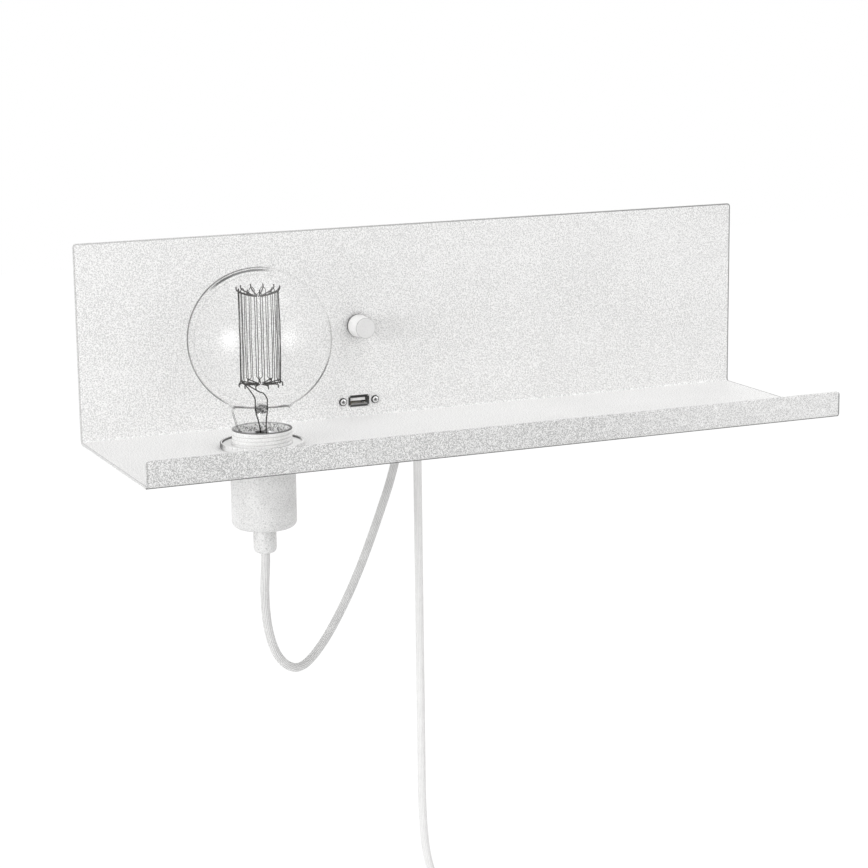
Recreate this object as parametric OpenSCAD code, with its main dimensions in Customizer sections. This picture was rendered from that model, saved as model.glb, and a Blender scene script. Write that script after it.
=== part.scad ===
// Wall lamp with shelf: one folded steel sheet makes the back plate, the shelf and its lip.
// A globe bulb stands in a lampholder that passes through the shelf, beside a dimmer knob
// and a USB socket. Millimetres: +X to the right along the wall, +Y into the wall, +Z up.
// The origin lies on the wall, midway between the two wall screw holes.

/* [Shelf sheet] */
// Width of the shelf along the wall
shelf_w = 500; // [480:1:620]
// Height from the shelf's underside to the top of the back plate
plate_h = 135; // [132:1:160]
// Depth from the back plate's front face to the lip's front face
shelf_d = 150; // [125:1:200]
// Height of the front lip
lip_h = 18; // [12:1:40]
// Thickness of the steel sheet
sheet_t = 1.5; // [1:0.1:2]
// Radius inside each fold
fold_r = 1.5; // [0.8:0.1:3]
// Radius of the rounded corners of the sheet
corner_r = 2.5; // [1:0.5:8]

/* [Wall mounting] */
// Depth of the rear frame, from the wall to the back plate
frame_d = 25; // [24:0.5:32]
// Width of the rear frame without its side flanges
frame_w = 440; // [420:1:440]
// Thickness of the rear frame's sheet
frame_t = 1.2; // [1:0.1:1.5]
// Width of each side flange
flange_w = 18; // [14:1:19]
// Height of the wall bracket
bracket_h = 45; // [42:1:52]
// Thickness of the wall bracket
bracket_t = 2; // [1.5:0.1:2.5]
// Distance between the wall screw holes
hole_spacing = 360; // [300:1:400]
// Diameter of the wall screw holes
hole_d = 5.5; // [4:0.1:7]
// Distance from the plate's top edge down to the wall screws
mount_drop = 40; // [34:1:44]

/* [Lampholder] */
// Distance from the shelf's left end to the lamp's axis
holder_x = 105; // [60:1:120]
// Distance from the back plate's front face to the lamp's axis
holder_y = 65.5; // [52:0.5:90]
// Diameter over the collar's thread
collar_d = 40; // [39.6:0.1:41]
// Pitch of the collar's thread
collar_pitch = 2.5; // [2:0.1:3]
// Height of the collar's mouth above the shelf's underside
collar_rise = 14; // [12:0.5:18]
// Diameter of the cup under the shelf
cup_d = 43.4; // [43:0.1:50]
// Height of the cup
cup_h = 53; // [52:0.5:70]
// Diameter of the shade ring
ring_d = 56; // [50:0.5:70]
// Diameter of the cord grip
grip_d = 15.5; // [14:0.1:20]
// Height of the cord grip
grip_h = 18; // [16:0.5:26]

/* [Bulb] */
// Diameter of the globe
globe_d = 95; // [90:1:100]
// Depth of the bulb's contact below the shelf's underside
tip_depth = 17.5; // [17:0.1:18]
// Thickness of the glass
glass_t = 0.8; // [0.6:0.1:1.2]
// Length of the bulb below its globe
bulb_neck = 43; // [42:0.5:60]
// Pitch of the cap's thread
cap_pitch = 3.62; // [3.4:0.01:4]
// Number of filament strands
strand_n = 22; // [12:2:26]
// Diameter of the filament cage
cage_d = 26.4; // [22:0.2:30]
// Height of the filament cage
cage_h = 63; // [50:1:64]

/* [Dimmer and USB socket] */
// Distance from the shelf's left end to the knob and the socket
controls_x = 200.5; // [198:0.5:203]
// Height of the knob above the shelf's underside
knob_rise = 66; // [64:0.5:68]
// Diameter of the knob at its base
knob_d = 16; // [15:0.1:22]
// Distance that the knob stands out from the plate
knob_h = 15.5; // [12:0.5:20]
// Diameter of the dimmer's shaft
shaft_d = 6; // [5:0.1:6]
// Height of the socket above the shelf's underside
usb_rise = 12.5; // [12.2:0.1:13.5]
// Width of the socket's metal shell
usb_w = 13.1; // [13:0.1:14]
// Height of the socket's metal shell
usb_h = 5.7; // [5.5:0.1:6]
// Distance between the socket's two screws
usb_screw_spacing = 24.2; // [23:0.1:26]

/* [Cords] */
// Diameter of both cords
cord_d = 6; // [5:0.1:6]
// Diameter of the plug's pins
pin_d = 4; // [3.6:0.1:4.8]
// Length of the plug's pins
pin_l = 19; // [15:0.5:22]
// Distance between the plug's pins
pin_spacing = 18.6; // [16:0.1:20]

/* [Hidden] */
$fn = 48;
// Overrun of every cut past the face that it opens
cut = 1;
sides = [-1, 1];

// Planes of the folded sheet
plate_back = -frame_d;
plate_front = plate_back - sheet_t;
lip_front = plate_front - shelf_d;
lip_back = lip_front + sheet_t;
top_z = mount_drop;
floor_z = top_z - plate_h;
tray_z = floor_z + sheet_t;
left_x = -shelf_w / 2;
fold_out_r = fold_r + sheet_t;

// Rear frame, its studs and nuts
frame_foot = 5;
frame_head = 10;
wall_gap = 0.5;
frame_low = floor_z + frame_foot;
frame_high = top_z - frame_head;
stud_d = 4;
stud_l = 8;
stud_clearance = 0.4;
stud_inset = 20;
stud_x = (frame_w + flange_w) / 2;
nut_across = 7;
nut_h = 3.2;
nut_clearance = 0.1;

// Wall bracket and the two screws that lock the frame on it
bracket_side_gap = 0.3;
hook_d = 14;
bracket_end = frame_w / 2 - frame_t - bracket_side_gap;
bracket_top = frame_high - frame_t;
bracket_low = bracket_top - bracket_h;
lock_z = (bracket_top + bracket_low) / 2;
lock_y = -hook_d / 2;
lock_d = 4;
lock_head_d = 7;
lock_head_h = 2.2;
lock_reach = 4;
lock_clearance = 0.4;
thread_clearance = 0.1;

// Places of the knob, the socket and the two cords
control_x = left_x + controls_x;
knob_z = floor_z + knob_rise;
usb_z = floor_z + usb_rise;
lamp_cord_right = 34.5;
mains_cord_right = 49.5;
lamp_cord_x = control_x + lamp_cord_right;
mains_cord_x = control_x + mains_cord_right;
cord_y = -14;

// Plastic box behind the plate, with its lid and screws
box_t = 2;
box_d = 20.6;
box_h = 72;
box_gap = 0.2;
box_left_margin = 46;
box_right_margin = 24;
box_left = control_x - box_left_margin;
box_right = mains_cord_x + box_right_margin;
box_low = frame_low + frame_t + box_gap;
box_high = box_low + box_h;
box_front_inner = plate_back + box_t;
box_rear = plate_back + box_d;
lid_t = 1.8;
post_w = 6;
lid_screw_d = 2.2;
lid_head_d = 4.8;
lid_head_h = 1;
lid_screw_l = 9;
lid_clearance = 0.2;

// Dimmer: potentiometer with its bush, washer, nut and shaft
bush_d = 7;
bush_clearance = 0.2;
bush_out = 3.5;
shaft_clearance = 0.05;
pot_d = 16;
pot_l = 10;
pot_wall = 1.2;
pot_back = box_front_inner + pot_l;
rotor_d = 13;
rotor_t = 2;
rotor_gap = 0.3;
washer_d = 11;
washer_t = 0.5;
dimmer_nut_across = 10;
dimmer_nut_h = 2;
knob_gap = 0.6;
knob_taper = 0.7;
knob_edge_r = 0.4;
knob_recess_d = 12.6;
knob_recess_h = 3.4;
knob_face_t = 2;
flat_depth = 1.2;
pot_pin_l = 1;
pot_pin_w = 1.2;
pot_pin_pitch = 5;
pot_pin_drop = 5;
board_t = 1.6;
dimmer_board_y = pot_back + pot_pin_l;
dimmer_board_left = 26;
dimmer_board_right = 20;
dimmer_board_up = 6;
dimmer_board_down = 28;
choke_d = 14;
choke_bore = 6;
choke_h = 6.5;
choke_left = 16;
choke_drop = 19;
film_size = [12, 5.5, 8];
film_right = 0;
film_drop = 15;
triac_size = [10, 4.5, 9];
triac_right = 4;
triac_drop = 26;

// USB socket: shell, tongue, contacts, carrier, screws, board and supply parts
usb_t = 0.35;
usb_l = 14;
usb_lip = 1.2;
usb_lip_t = 0.4;
usb_slot_clearance = 0.4;
usb_screw_d = 3;
usb_head_d = 5.6;
usb_head_h = 1.9;
usb_screw_clearance = 0.3;
usb_screw_l = 8;
cross_w = 0.9;
cross_l = 3.2;
cross_depth = 1.1;
tongue_t = 1.9;
tongue_l = 9.2;
tongue_margin = 0.7;
tongue_side = 0.65;
tongue_block_t = 2.6;
contact_n = 4;
contact_w = 1;
contact_t = 0.25;
contact_l = 7.5;
contact_pitch = 2.5;
carrier_t = 3;
carrier_h = 7.4;
carrier_side = 3.6;
usb_board_w = 44;
usb_board_gap = 0.3;
usb_board_d = 13.5;
transformer_size = [14, 11, 12];
transformer_left = 19;
capacitor_d = 8;
capacitor_h = 11;
capacitor_right_share = [0.08, 0.32];

// Terminal block, cord clamp and gland holes
terminal_size = [30, 11, 16];
terminal_rise = 31;
terminal_n = 5;
terminal_pitch = 5.6;
terminal_screw_d = 3.8;
terminal_screw_l = 3;
terminal_hole_l = 5;
terminal_x = (lamp_cord_x + mains_cord_x) / 2;
terminal_low = box_low + terminal_rise;
terminal_rear = box_front_inner + terminal_size.y;
clamp_h = 6;
clamp_rise = 12;
clamp_side = 11;
clamp_t = 4.6;
clamp_gap = 2;
clamp_screw_side = 7.5;
clamp_screw_d = 3;
clamp_head_d = 5;
clamp_head_h = 2;
clamp_screw_l = 11;
clamp_low = box_low + clamp_rise;
clamp_high = clamp_low + clamp_h;
clamp_front = cord_y + clamp_gap / 2;
saddle_rear = cord_y - clamp_gap / 2;
cord_clearance = 0.1;
gland_neck_d = 9.2;
gland_flange_d = 11;
gland_flange_t = 1.5;
gland_l = 24;
gland_tip_d = 8;
gland_rib_n = 4;
gland_rib_h = 0.5;
gland_clearance = 0.2;
gland_neck_l = frame_t + box_gap + box_t;
gland_tip_z = frame_low - gland_l;
tail_rise = 6;
conductor_d = 2;
conductor_offset = 1.4;
inner_wire_d = 1.8;

// Lampholder: cup, collar, ring, core and contacts around the lamp's axis
holder_axis_x = left_x + holder_x;
holder_axis_y = plate_front - holder_y;
hole_clearance = 0.6;
holder_hole_d = collar_d + hole_clearance;
cup_wall = 2.1;
cup_round = 4.5;
cup_floor_t = 2;
cup_ledge = 2.3;
cup_bore = cup_d - 2 * cup_wall;
cup_low = floor_z - cup_h;
collar_thread_depth = 0.8;
collar_wall = 0.8;
collar_root_d = collar_d - 2 * collar_thread_depth;
collar_bore = collar_root_d - 2 * collar_wall;
collar_top = floor_z + collar_rise;
skirt_l = 21.5;
skirt_clearance = 0.1;
skirt_d = min(cup_bore - skirt_clearance, holder_hole_d);
skirt_low = floor_z - skirt_l;
// Steps of one thread tooth, as shares of the pitch
tooth_shares = [0.1, 0.35, 0.6, 0.85];
tooth_n = floor((collar_top - tray_z) / collar_pitch);
ring_clearance = 0.2;
ring_t = 2.2;
ring_rim_w = 1.6;
ring_rim_h = 3.6;
ring_notch_n = 40;
ring_notch_w = 1.3;
ring_notch_depth = 0.7;
core_base_h = 11.5;
core_low = skirt_low - core_base_h;
core_base_gap = 0.25;
core_base_d = cup_bore - 2 * core_base_gap;
core_wall_gap = 0.6;
core_wall_d = collar_bore - 2 * core_wall_gap;
core_rise = 5;
core_top = floor_z + core_rise;
shell_d = 28.4;
shell_clearance = 0.1;
shell_low = floor_z - 13;
shell_tab_w = 5;
shell_tab_t = 0.6;
contact_strip_w = 6;
contact_strip_t = 0.5;
contact_foot = [4, 11];
contact_tongue = 3.5;
contact_gap = 0.1;
core_screw_offset = 8;
core_screw_d = 3;
core_screw_head_d = 5.5;
core_screw_head_h = 2.2;
core_screw_l = 7;
nipple_d = 10;
nipple_bore = 7;
nipple_clearance = 0.2;
nipple_below = 9;
nipple_above = 5;
nipple_nut_across = 14;
nipple_nut_h = 3;
grip_round = 4;
grip_socket_gap = 0.3;
grip_screw_d = 4;
grip_screw_drop = 13.2;
grip_screw_inset = 0.3;
holder_tail_rise = 8;
holder_wire_end = 0.5;

// Bulb: glass, cap, contact and cage
globe_r = globe_d / 2;
tip_z = floor_z - tip_depth;
globe_z = tip_z + bulb_neck + globe_r;
neck_r = 20;
neck_fillet_r = 5;
neck_mid_r = 16.9;
neck_foot_r = 11.5;
neck_fillet_x = neck_r + neck_fillet_r;
neck_fillet_z = globe_z - sqrt(pow(globe_r + neck_fillet_r, 2) - pow(neck_fillet_x, 2));
cap_h = 27;
cap_rim_z = tip_z + cap_h;
neck_mid_rise = 5.5;
neck_seat_rise = 0.3;
neck_sink = 7;
cap_thread_r = 12.65;
thread_swing = 0.52;
thread_play = 0.35;
cap_skirt_r = 13;
cap_bore_r = 11.7;
cap_wall = 0.4;
cap_thread_low = tip_z + 5.8;
cap_thread_high = tip_z + 22;
cap_skirt_sink = 0.5;
shell_skirt_gap = 0.1;
shell_top = cap_thread_high - cap_skirt_sink - shell_skirt_gap;
cap_cone_low = tip_z + 4.2;
cap_cone_r = 9.2;
thread_sides = 24;
thread_steps = 8;
insulator_top_r = 8.7;
insulator_low_r = 5.4;
insulator_sink = 1.5;
insulator_gap = 0.1;
tip_r = 4.8;
tip_h = 1.2;
stem_gap = 0.2;
stem_low_r = neck_foot_r - glass_t - stem_gap;
stem_r = 4.3;
stem_wall = 1;
stem_bell_h = 6;
stem_z = cap_rim_z - neck_sink;
pinch_drop = 0.5;
pinch_z = globe_z - globe_r - pinch_drop;
pinch_h = 5.5;
pinch_size = [9.2, 4.6];
rod_r = 0.8;
rod_foot_r = 1.2;
button_r = 1.8;
button_h = 2.5;
cage_lift = 2;
cage_low = globe_z - cage_h / 2 + cage_lift;
cage_high = cage_low + cage_h;
cage_r = cage_d / 2;
filament_r = 0.25;
hook_r = 0.25;
hook_past = 0.9;
hook_tip = 2.6;
hook_sag = 3.5;
hook_gap = 0.1;
turn_rise = 1.2;
strand_step = 360 / strand_n;
cage_turn = 180;
lead_r = 0.35;
lead_knee = 4.5;
lead_side = 4.2;
lead_way = 3.6;
lead_way_rise = 2.5;

// Route of the lamp's cord, from its gland down and up into the cord grip
lamp_route = [
    [-15, -14, -114], [-15, -14, -120], [-18.5, -16.1, -132], [-25, -20, -147],
    [-32.5, -24.5, -161], [-41, -29.6, -176], [-50, -35, -191], [-60, -41, -206],
    [-71, -47.6, -220.5], [-83, -54.8, -234], [-95, -62, -245], [-107, -69.2, -252.5],
    [-117, -75.2, -254.5], [-126, -80.6, -251], [-134, -85.4, -243.5], [-140, -89, -233],
    [-144, -91.4, -220], [-146, -92.6, -206], [-146.4, -92.8, -192], [-145.6, -92.4, -180],
    [-145, -92, -172], [-145, -92, -166]
];
// Route of the mains cord, from its gland down to its coil
mains_route = [
    [0, -14, -114], [0, -14, -120], [0, -14, -136], [0, -14, -152], [0, -14, -168],
    [0, -14, -184], [0, -14, -200], [0, -14, -218], [0, -14, -236], [0, -14, -254],
    [0, -14, -272], [0, -14, -290], [0, -14, -308], [0, -14, -326], [0, -14, -344],
    [0, -14, -362], [0, -14, -380], [0.3, -14, -396], [1, -14, -412], [2.5, -14, -428],
    [5.5, -14, -443], [10, -14, -457], [16, -14, -470], [23, -14, -483], [30.5, -14, -496],
    [38, -14, -508], [43, -14, -518.5], [45.5, -14, -528], [45.5, -14, -534]
];
// Routes of the two wires inside the box, from the terminals to the two boards
dimmer_wire_route = [
    [-18, -17.5, -41.6], [-18, -17.5, -38], [-19, -17.5, -34], [-22, -17.5, -31.5],
    [-26, -17.5, -31.5], [-30, -17.2, -33.5], [-32.5, -16.8, -37], [-33, -15.5, -40],
    [-33, -12, -40]
];
usb_wire_route = [
    [-13, -20.5, -41.6], [-13, -20.5, -38], [-15, -20.5, -34.5], [-19, -20.5, -33.5],
    [-23, -20.5, -36], [-25, -20, -42], [-26, -18, -52], [-27, -15, -62], [-29, -13, -71],
    [-29, -13, -78]
];
dimmer_wire_left = 10.5;
dimmer_wire_depth = 5.5;
dimmer_wire_to = [16.5, 11.5];
usb_wire_left = 5.5;
usb_wire_depth = 2.5;
usb_wire_to = [20.5, 10];
// Coil of the mains cord: two layers of turns beside the wall
coil_drop = 426;
coil_x = mains_cord_x;
coil_z = gland_tip_z - coil_drop;
coil_front_y = -14;
coil_back_y = -7.5;
coil_inner_r = 26;
coil_step = 6.5;
coil_turns = 3;
loop_rings = 24;
coil_tail = 14;
cord_sides = 10;
coil_sides = 6;
coil_outer_r = coil_inner_r + coil_turns * coil_step;

// Tie round the coil, and the plug that hangs from the coil's end
tie_w = 8;
tie_t = 1.2;
tie_gap = 0.45;
tie_round = 3;
plug_x = coil_x + coil_outer_r;
plug_y = coil_back_y;
plug_top = coil_z - coil_tail;
plug_neck_l = 22;
plug_neck_d = 8.4;
plug_neck_low_d = 10;
plug_rib_n = 5;
plug_rib_h = 0.5;
plug_body_l = 34;
plug_face = [35.3, 13.7];
plug_round = 5;
plug_shoulder = [20, 12];
plug_face_t = 12;
plug_low = plug_top - plug_neck_l - plug_body_l;
pin_sink = 4;

// Plain shapes between two limits on each axis
module block(x, y, z) {
    translate([x[0], y[0], z[0]]) cube([x[1] - x[0], y[1] - y[0], z[1] - z[0]]);
}

module rod_x(x, y, z, d) {
    translate([x[0], y, z]) rotate([0, 90, 0]) cylinder(h = x[1] - x[0], d = d);
}

module rod_y(x, y, z, d) {
    translate([x, y[0], z]) rotate([-90, 0, 0]) cylinder(h = y[1] - y[0], d = d);
}

module rod_z(x, y, z, d) {
    translate([x, y, z[0]]) cylinder(h = z[1] - z[0], d = d);
}

// Straight round wire between two points
module strut(a, b, r) {
    v = b - a;
    translate(a) rotate([0, acos(v.z / norm(v)), atan2(v.y, v.x)]) cylinder(h = norm(v), r = r);
}

module hex_prism(across, h) {
    cylinder(h = h, d = across / cos(30), $fn = 6);
}

module rounded_rect(w, h, r) {
    square([w - 2 * r, h], center = true);
    square([w, h - 2 * r], center = true);
    for (sx = sides, sy = sides) translate([sx * (w / 2 - r), sy * (h / 2 - r)]) circle(r);
}

// Half section of a round cup with a rounded lower edge
module rounded_foot(r, low, h, round) {
    translate([0, low + round]) square([r, h - round]);
    translate([0, low]) square([r - round, round]);
    intersection() {
        translate([r - round, low + round]) circle(round);
        translate([r - round, low]) square(round);
    }
}

// Brings a shape that is built on the lamp's axis to its place
module at_holder() {
    translate([holder_axis_x, holder_axis_y, 0]) children();
}

// Turns a shape so that its z runs out of the plate, towards the room
module out_of_plate(z) {
    translate([control_x, plate_front, z]) rotate([90, 0, 0]) children();
}

// A round tube swept along points: each ring is square to the bisector of its two runs
function unit(v) = v / norm(v);
function tangents(p) = [
    for (i = [0 : len(p) - 1])
        i == 0 ? unit(p[1] - p[0])
        : i == len(p) - 1 ? unit(p[i] - p[i - 1])
        : unit(unit(p[i + 1] - p[i]) + unit(p[i] - p[i - 1]))
];
function first_normal(t) = unit(cross(t, abs(t.y) < abs(t.z) ? [0, 1, 0] : [0, 0, 1]));
function carried(n, t) = unit(n - (n * t) * t);
function normals(t) = [
    for (i = 0, n = first_normal(t[0]); i < len(t);
         i = i + 1, n = i < len(t) ? carried(n, t[i]) : n) n
];
function ring_points(p, t, n, r, s) = [
    for (i = [0 : len(p) - 1], k = [0 : s - 1])
        p[i] + r * cos(360 * k / s) * n[i] + r * sin(360 * k / s) * cross(t[i], n[i])
];
function side_faces(rings, s) = [
    for (i = [0 : rings - 2], k = [0 : s - 1], half = [0, 1])
        half == 0 ? [i * s + k, (i + 1) * s + (k + 1) % s, i * s + (k + 1) % s]
        : [i * s + k, (i + 1) * s + k, (i + 1) * s + (k + 1) % s]
];
function cap_faces(base, s, far) = [
    for (k = [1 : s - 2]) far ? [base, base + k + 1, base + k] : [base, base + k, base + k + 1]
];
module tube(p, r, s) {
    t = tangents(p);
    polyhedron(
        points = ring_points(p, t, normals(t), r, s),
        faces = concat(side_faces(len(p), s), cap_faces(0, s, false),
                       cap_faces((len(p) - 1) * s, s, true)),
        convexity = 10);
}
// A drawn route whose two ends are moved to their places, the points between them in proportion
function fitted(p, start, end) = [
    for (i = [0 : len(p) - 1]) let (share = eased(i / (len(p) - 1)))
        p[i] + (1 - share) * (start - p[0]) + share * (end - p[len(p) - 1])
];
function run_length(p) = len(p) < 2 ? 0 : sum([for (i = [1 : len(p) - 1]) norm(p[i] - p[i - 1])]);
function sum(v) = [
    for (i = 0, s = v[0]; i < len(v); i = i + 1, s = s + (i < len(v) ? v[i] : 0)) s
][len(v) - 1];
function eased(u) = u * u * (3 - 2 * u);

// Folded sheet: back plate, shelf and lip joined by two quarter-round folds
module fold_corner(side) {
    intersection() {
        difference() {
            circle(fold_out_r);
            circle(fold_r);
        }
        translate([side < 0 ? -fold_out_r : 0, -fold_out_r]) square(fold_out_r);
    }
}

module fold_outline() {
    translate([plate_front, floor_z + fold_out_r]) square([sheet_t, plate_h - fold_out_r]);
    translate([lip_front, floor_z + fold_out_r]) square([sheet_t, lip_h - fold_out_r]);
    translate([lip_front + fold_out_r, floor_z])
        square([plate_back - lip_front - 2 * fold_out_r, sheet_t]);
    translate([plate_back - fold_out_r, floor_z + fold_out_r]) fold_corner(1);
    translate([lip_front + fold_out_r, floor_z + fold_out_r]) fold_corner(-1);
}

// What is cut away to round the upper corner of a plate at one end
module corner_cutter(side, y, z) {
    inner_x = side * (shelf_w / 2 - corner_r);
    difference() {
        translate([side > 0 ? inner_x : inner_x - corner_r - cut, y - cut, z - corner_r])
            cube([corner_r + cut, sheet_t + 2 * cut, corner_r + cut]);
        rod_y(inner_x, [y - 2 * cut, y + sheet_t + 2 * cut], z - corner_r, 2 * corner_r);
    }
}

module usb_openings(y) {
    slot_w = usb_w + usb_slot_clearance;
    slot_h = usb_h + usb_slot_clearance;
    block([control_x - slot_w / 2, control_x + slot_w / 2], y, [usb_z - slot_h / 2, usb_z + slot_h / 2]);
    for (s = sides)
        rod_y(control_x + s * usb_screw_spacing / 2, y, usb_z, usb_screw_d + usb_screw_clearance);
}

module shelf_panel() {
    through = [plate_front - cut, plate_back + cut];
    color("whitesmoke") difference() {
        translate([left_x, 0, 0]) rotate([90, 0, 90]) linear_extrude(shelf_w) fold_outline();
        for (s = sides) {
            corner_cutter(s, plate_front, top_z);
            corner_cutter(s, lip_front, floor_z + lip_h);
        }
        rod_z(holder_axis_x, holder_axis_y, [floor_z - cut, tray_z + cut], holder_hole_d);
        rod_y(control_x, through, knob_z, bush_d + bush_clearance);
        usb_openings(through);
    }
}

module at_studs() {
    for (s = sides, z = [frame_low + stud_inset, frame_high - stud_inset])
        translate([s * stud_x, plate_back, z]) rotate([-90, 0, 0]) children();
}

module panel_studs() {
    color("silver") at_studs() cylinder(h = stud_l, d = stud_d);
}

module stud_nuts() {
    color("silver") at_studs() translate([0, 0, frame_t]) difference() {
        hex_prism(nut_across, nut_h);
        translate([0, 0, -cut]) cylinder(h = nut_h + 2 * cut, d = stud_d + nut_clearance);
    }
}

module rear_frame() {
    half = frame_w / 2;
    color("gainsboro") difference() {
        union() {
            difference() {
                block([-half, half], [plate_back, -wall_gap], [frame_low, frame_high]);
                block([-half + frame_t, half - frame_t], [plate_back - cut, -wall_gap + cut],
                      [frame_low + frame_t, frame_high - frame_t]);
            }
            block([half - frame_t, half + flange_w], [plate_back, plate_back + frame_t],
                  [frame_low, frame_high]);
            block([-half - flange_w, -half + frame_t], [plate_back, plate_back + frame_t],
                  [frame_low, frame_high]);
        }
        at_studs() translate([0, 0, -cut]) cylinder(h = frame_t + 2 * cut, d = stud_d + stud_clearance);
        for (x = [lamp_cord_x, mains_cord_x])
            rod_z(x, cord_y, [frame_low - cut, frame_low + frame_t + cut], gland_neck_d + gland_clearance);
        rod_x([-half - cut, half + cut], lock_y, lock_z, lock_d + lock_clearance);
    }
}

module wall_bracket() {
    color("silver") difference() {
        union() {
            block([-bracket_end, bracket_end], [-bracket_t, 0], [bracket_low, bracket_top]);
            block([-bracket_end, bracket_end], [-hook_d, 0], [bracket_top - bracket_t, bracket_top]);
            block([bracket_end - bracket_t, bracket_end], [-hook_d, 0], [bracket_low, bracket_top]);
            block([-bracket_end, -bracket_end + bracket_t], [-hook_d, 0], [bracket_low, bracket_top]);
        }
        for (s = sides) rod_y(s * hole_spacing / 2, [-bracket_t - cut, cut], 0, hole_d);
        rod_x([-bracket_end - cut, bracket_end + cut], lock_y, lock_z, lock_d + thread_clearance);
    }
}

module lock_screws() {
    head_x = frame_w / 2;
    color("silver") for (s = sides) mirror([s < 0 ? 1 : 0, 0, 0]) {
        rod_x([head_x, head_x + lock_head_h], lock_y, lock_z, lock_head_d);
        rod_x([bracket_end - bracket_t - lock_reach, head_x], lock_y, lock_z, lock_d);
    }
}

// Round knob with a rounded face edge, hollow behind for the nut, with a D-shaped bore
module dimmer_knob() {
    base_r = knob_d / 2;
    face_r = base_r - knob_taper;
    color("white") out_of_plate(knob_z) difference() {
        rotate_extrude() {
            polygon([[0, knob_gap], [base_r, knob_gap],
                     [face_r, knob_h - knob_edge_r], [0, knob_h - knob_edge_r]]);
            translate([0, knob_h - knob_edge_r - cut]) square([face_r - knob_edge_r, knob_edge_r + cut]);
            intersection() {
                translate([face_r - knob_edge_r, knob_h - knob_edge_r]) circle(knob_edge_r);
                translate([0, knob_h - knob_edge_r]) square([face_r, knob_edge_r]);
            }
        }
        translate([0, 0, knob_gap - cut]) cylinder(h = knob_recess_h + cut, d = knob_recess_d);
        shaft_profile(knob_gap, knob_h - knob_face_t, shaft_d + 2 * shaft_clearance);
    }
}

// Shaft end with a flat along one side
module shaft_profile(low, high, d) {
    difference() {
        translate([0, 0, low]) cylinder(h = high - low, d = d);
        translate([-d, d / 2 - flat_depth, low - cut]) cube([2 * d, d, high - low + 2 * cut]);
    }
}

module dimmer_shaft() {
    inner = plate_front - box_front_inner;
    rotor_top = inner - pot_wall - rotor_gap;
    color("silver") out_of_plate(knob_z) {
        translate([0, 0, rotor_top - rotor_t]) cylinder(h = rotor_t, d = rotor_d);
        translate([0, 0, rotor_top - rotor_t]) cylinder(h = bush_out - rotor_top + rotor_t, d = shaft_d);
        shaft_profile(bush_out - cut, knob_h - knob_face_t, shaft_d);
    }
}

module dimmer_washer() {
    color("silver") out_of_plate(knob_z) difference() {
        cylinder(h = washer_t, d = washer_d);
        translate([0, 0, -cut]) cylinder(h = washer_t + 2 * cut, d = bush_d + nut_clearance);
    }
}

module dimmer_nut() {
    color("silver") out_of_plate(knob_z) translate([0, 0, washer_t]) difference() {
        hex_prism(dimmer_nut_across, dimmer_nut_h);
        translate([0, 0, -cut]) cylinder(h = dimmer_nut_h + 2 * cut, d = bush_d + nut_clearance);
    }
}

module dimmer_body() {
    inner = plate_front - box_front_inner;
    color("slategray") out_of_plate(knob_z) {
        difference() {
            union() {
                translate([0, 0, inner - pot_l]) cylinder(h = pot_l, d = pot_d);
                translate([0, 0, inner - pot_wall]) cylinder(h = bush_out - inner + pot_wall, d = bush_d);
            }
            translate([0, 0, inner - pot_l + pot_wall])
                cylinder(h = pot_l - 2 * pot_wall, d = pot_d - 2 * pot_wall);
            translate([0, 0, inner - pot_l / 2])
                cylinder(h = pot_l + bush_out, d = shaft_d + 2 * shaft_clearance);
        }
        for (s = [-1, 0, 1])
            translate([s * pot_pin_pitch - pot_pin_w / 2, -pot_pin_drop, inner - pot_l - pot_pin_l])
                cube([pot_pin_w, pot_pin_w, pot_pin_l + pot_wall / 2]);
    }
}

module dimmer_board() {
    color("seagreen") block([control_x - dimmer_board_left, control_x + dimmer_board_right],
        [dimmer_board_y, dimmer_board_y + board_t], [knob_z - dimmer_board_down, knob_z + dimmer_board_up]);
}

// Choke, film capacitor and triac on the board's front face
module dimmer_parts() {
    color("goldenrod") translate([control_x - choke_left, dimmer_board_y, knob_z - choke_drop])
        rotate([90, 0, 0]) difference() {
            cylinder(h = choke_h, d = choke_d);
            translate([0, 0, -cut]) cylinder(h = choke_h + 2 * cut, d = choke_bore);
        }
    color("firebrick") translate([control_x + film_right, dimmer_board_y - film_size.z, knob_z - film_drop])
        cube([film_size.x, film_size.z, film_size.y]);
    color("black") translate([control_x + triac_right, dimmer_board_y - triac_size.y, knob_z - triac_drop])
        cube([triac_size.x, triac_size.y, triac_size.z]);
}

// Metal shell of the socket with its flared lip on the plate
module usb_shell() {
    inner_w = usb_w - 2 * usb_t;
    inner_h = usb_h - 2 * usb_t;
    color("silver") difference() {
        union() {
            block([control_x - usb_w / 2, control_x + usb_w / 2],
                  [plate_front - usb_lip_t, plate_front + usb_l], [usb_z - usb_h / 2, usb_z + usb_h / 2]);
            translate([control_x, plate_front, usb_z]) rotate([90, 0, 0]) linear_extrude(usb_lip_t)
                rounded_rect(usb_w + 2 * usb_lip, usb_h + 2 * usb_lip, usb_lip);
        }
        block([control_x - inner_w / 2, control_x + inner_w / 2],
              [plate_front - usb_lip_t - cut, plate_front + usb_l - usb_t],
              [usb_z - inner_h / 2, usb_z + inner_h / 2]);
    }
}

usb_block_rear = plate_front + usb_l - usb_t;
usb_block_front = usb_block_rear - tongue_block_t;
usb_inner_top = usb_z + usb_h / 2 - usb_t;
tongue_top = usb_inner_top - tongue_margin;
tongue_low = tongue_top - tongue_t;

module usb_tongue() {
    half = usb_w / 2 - usb_t;
    color("white") union() {
        block([control_x - half, control_x + half], [usb_block_front, usb_block_rear],
              [usb_z - usb_h / 2 + usb_t, usb_inner_top]);
        block([control_x - half + tongue_side, control_x + half - tongue_side],
              [usb_block_front - tongue_l, usb_block_rear], [tongue_low, tongue_top]);
    }
}

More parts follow.
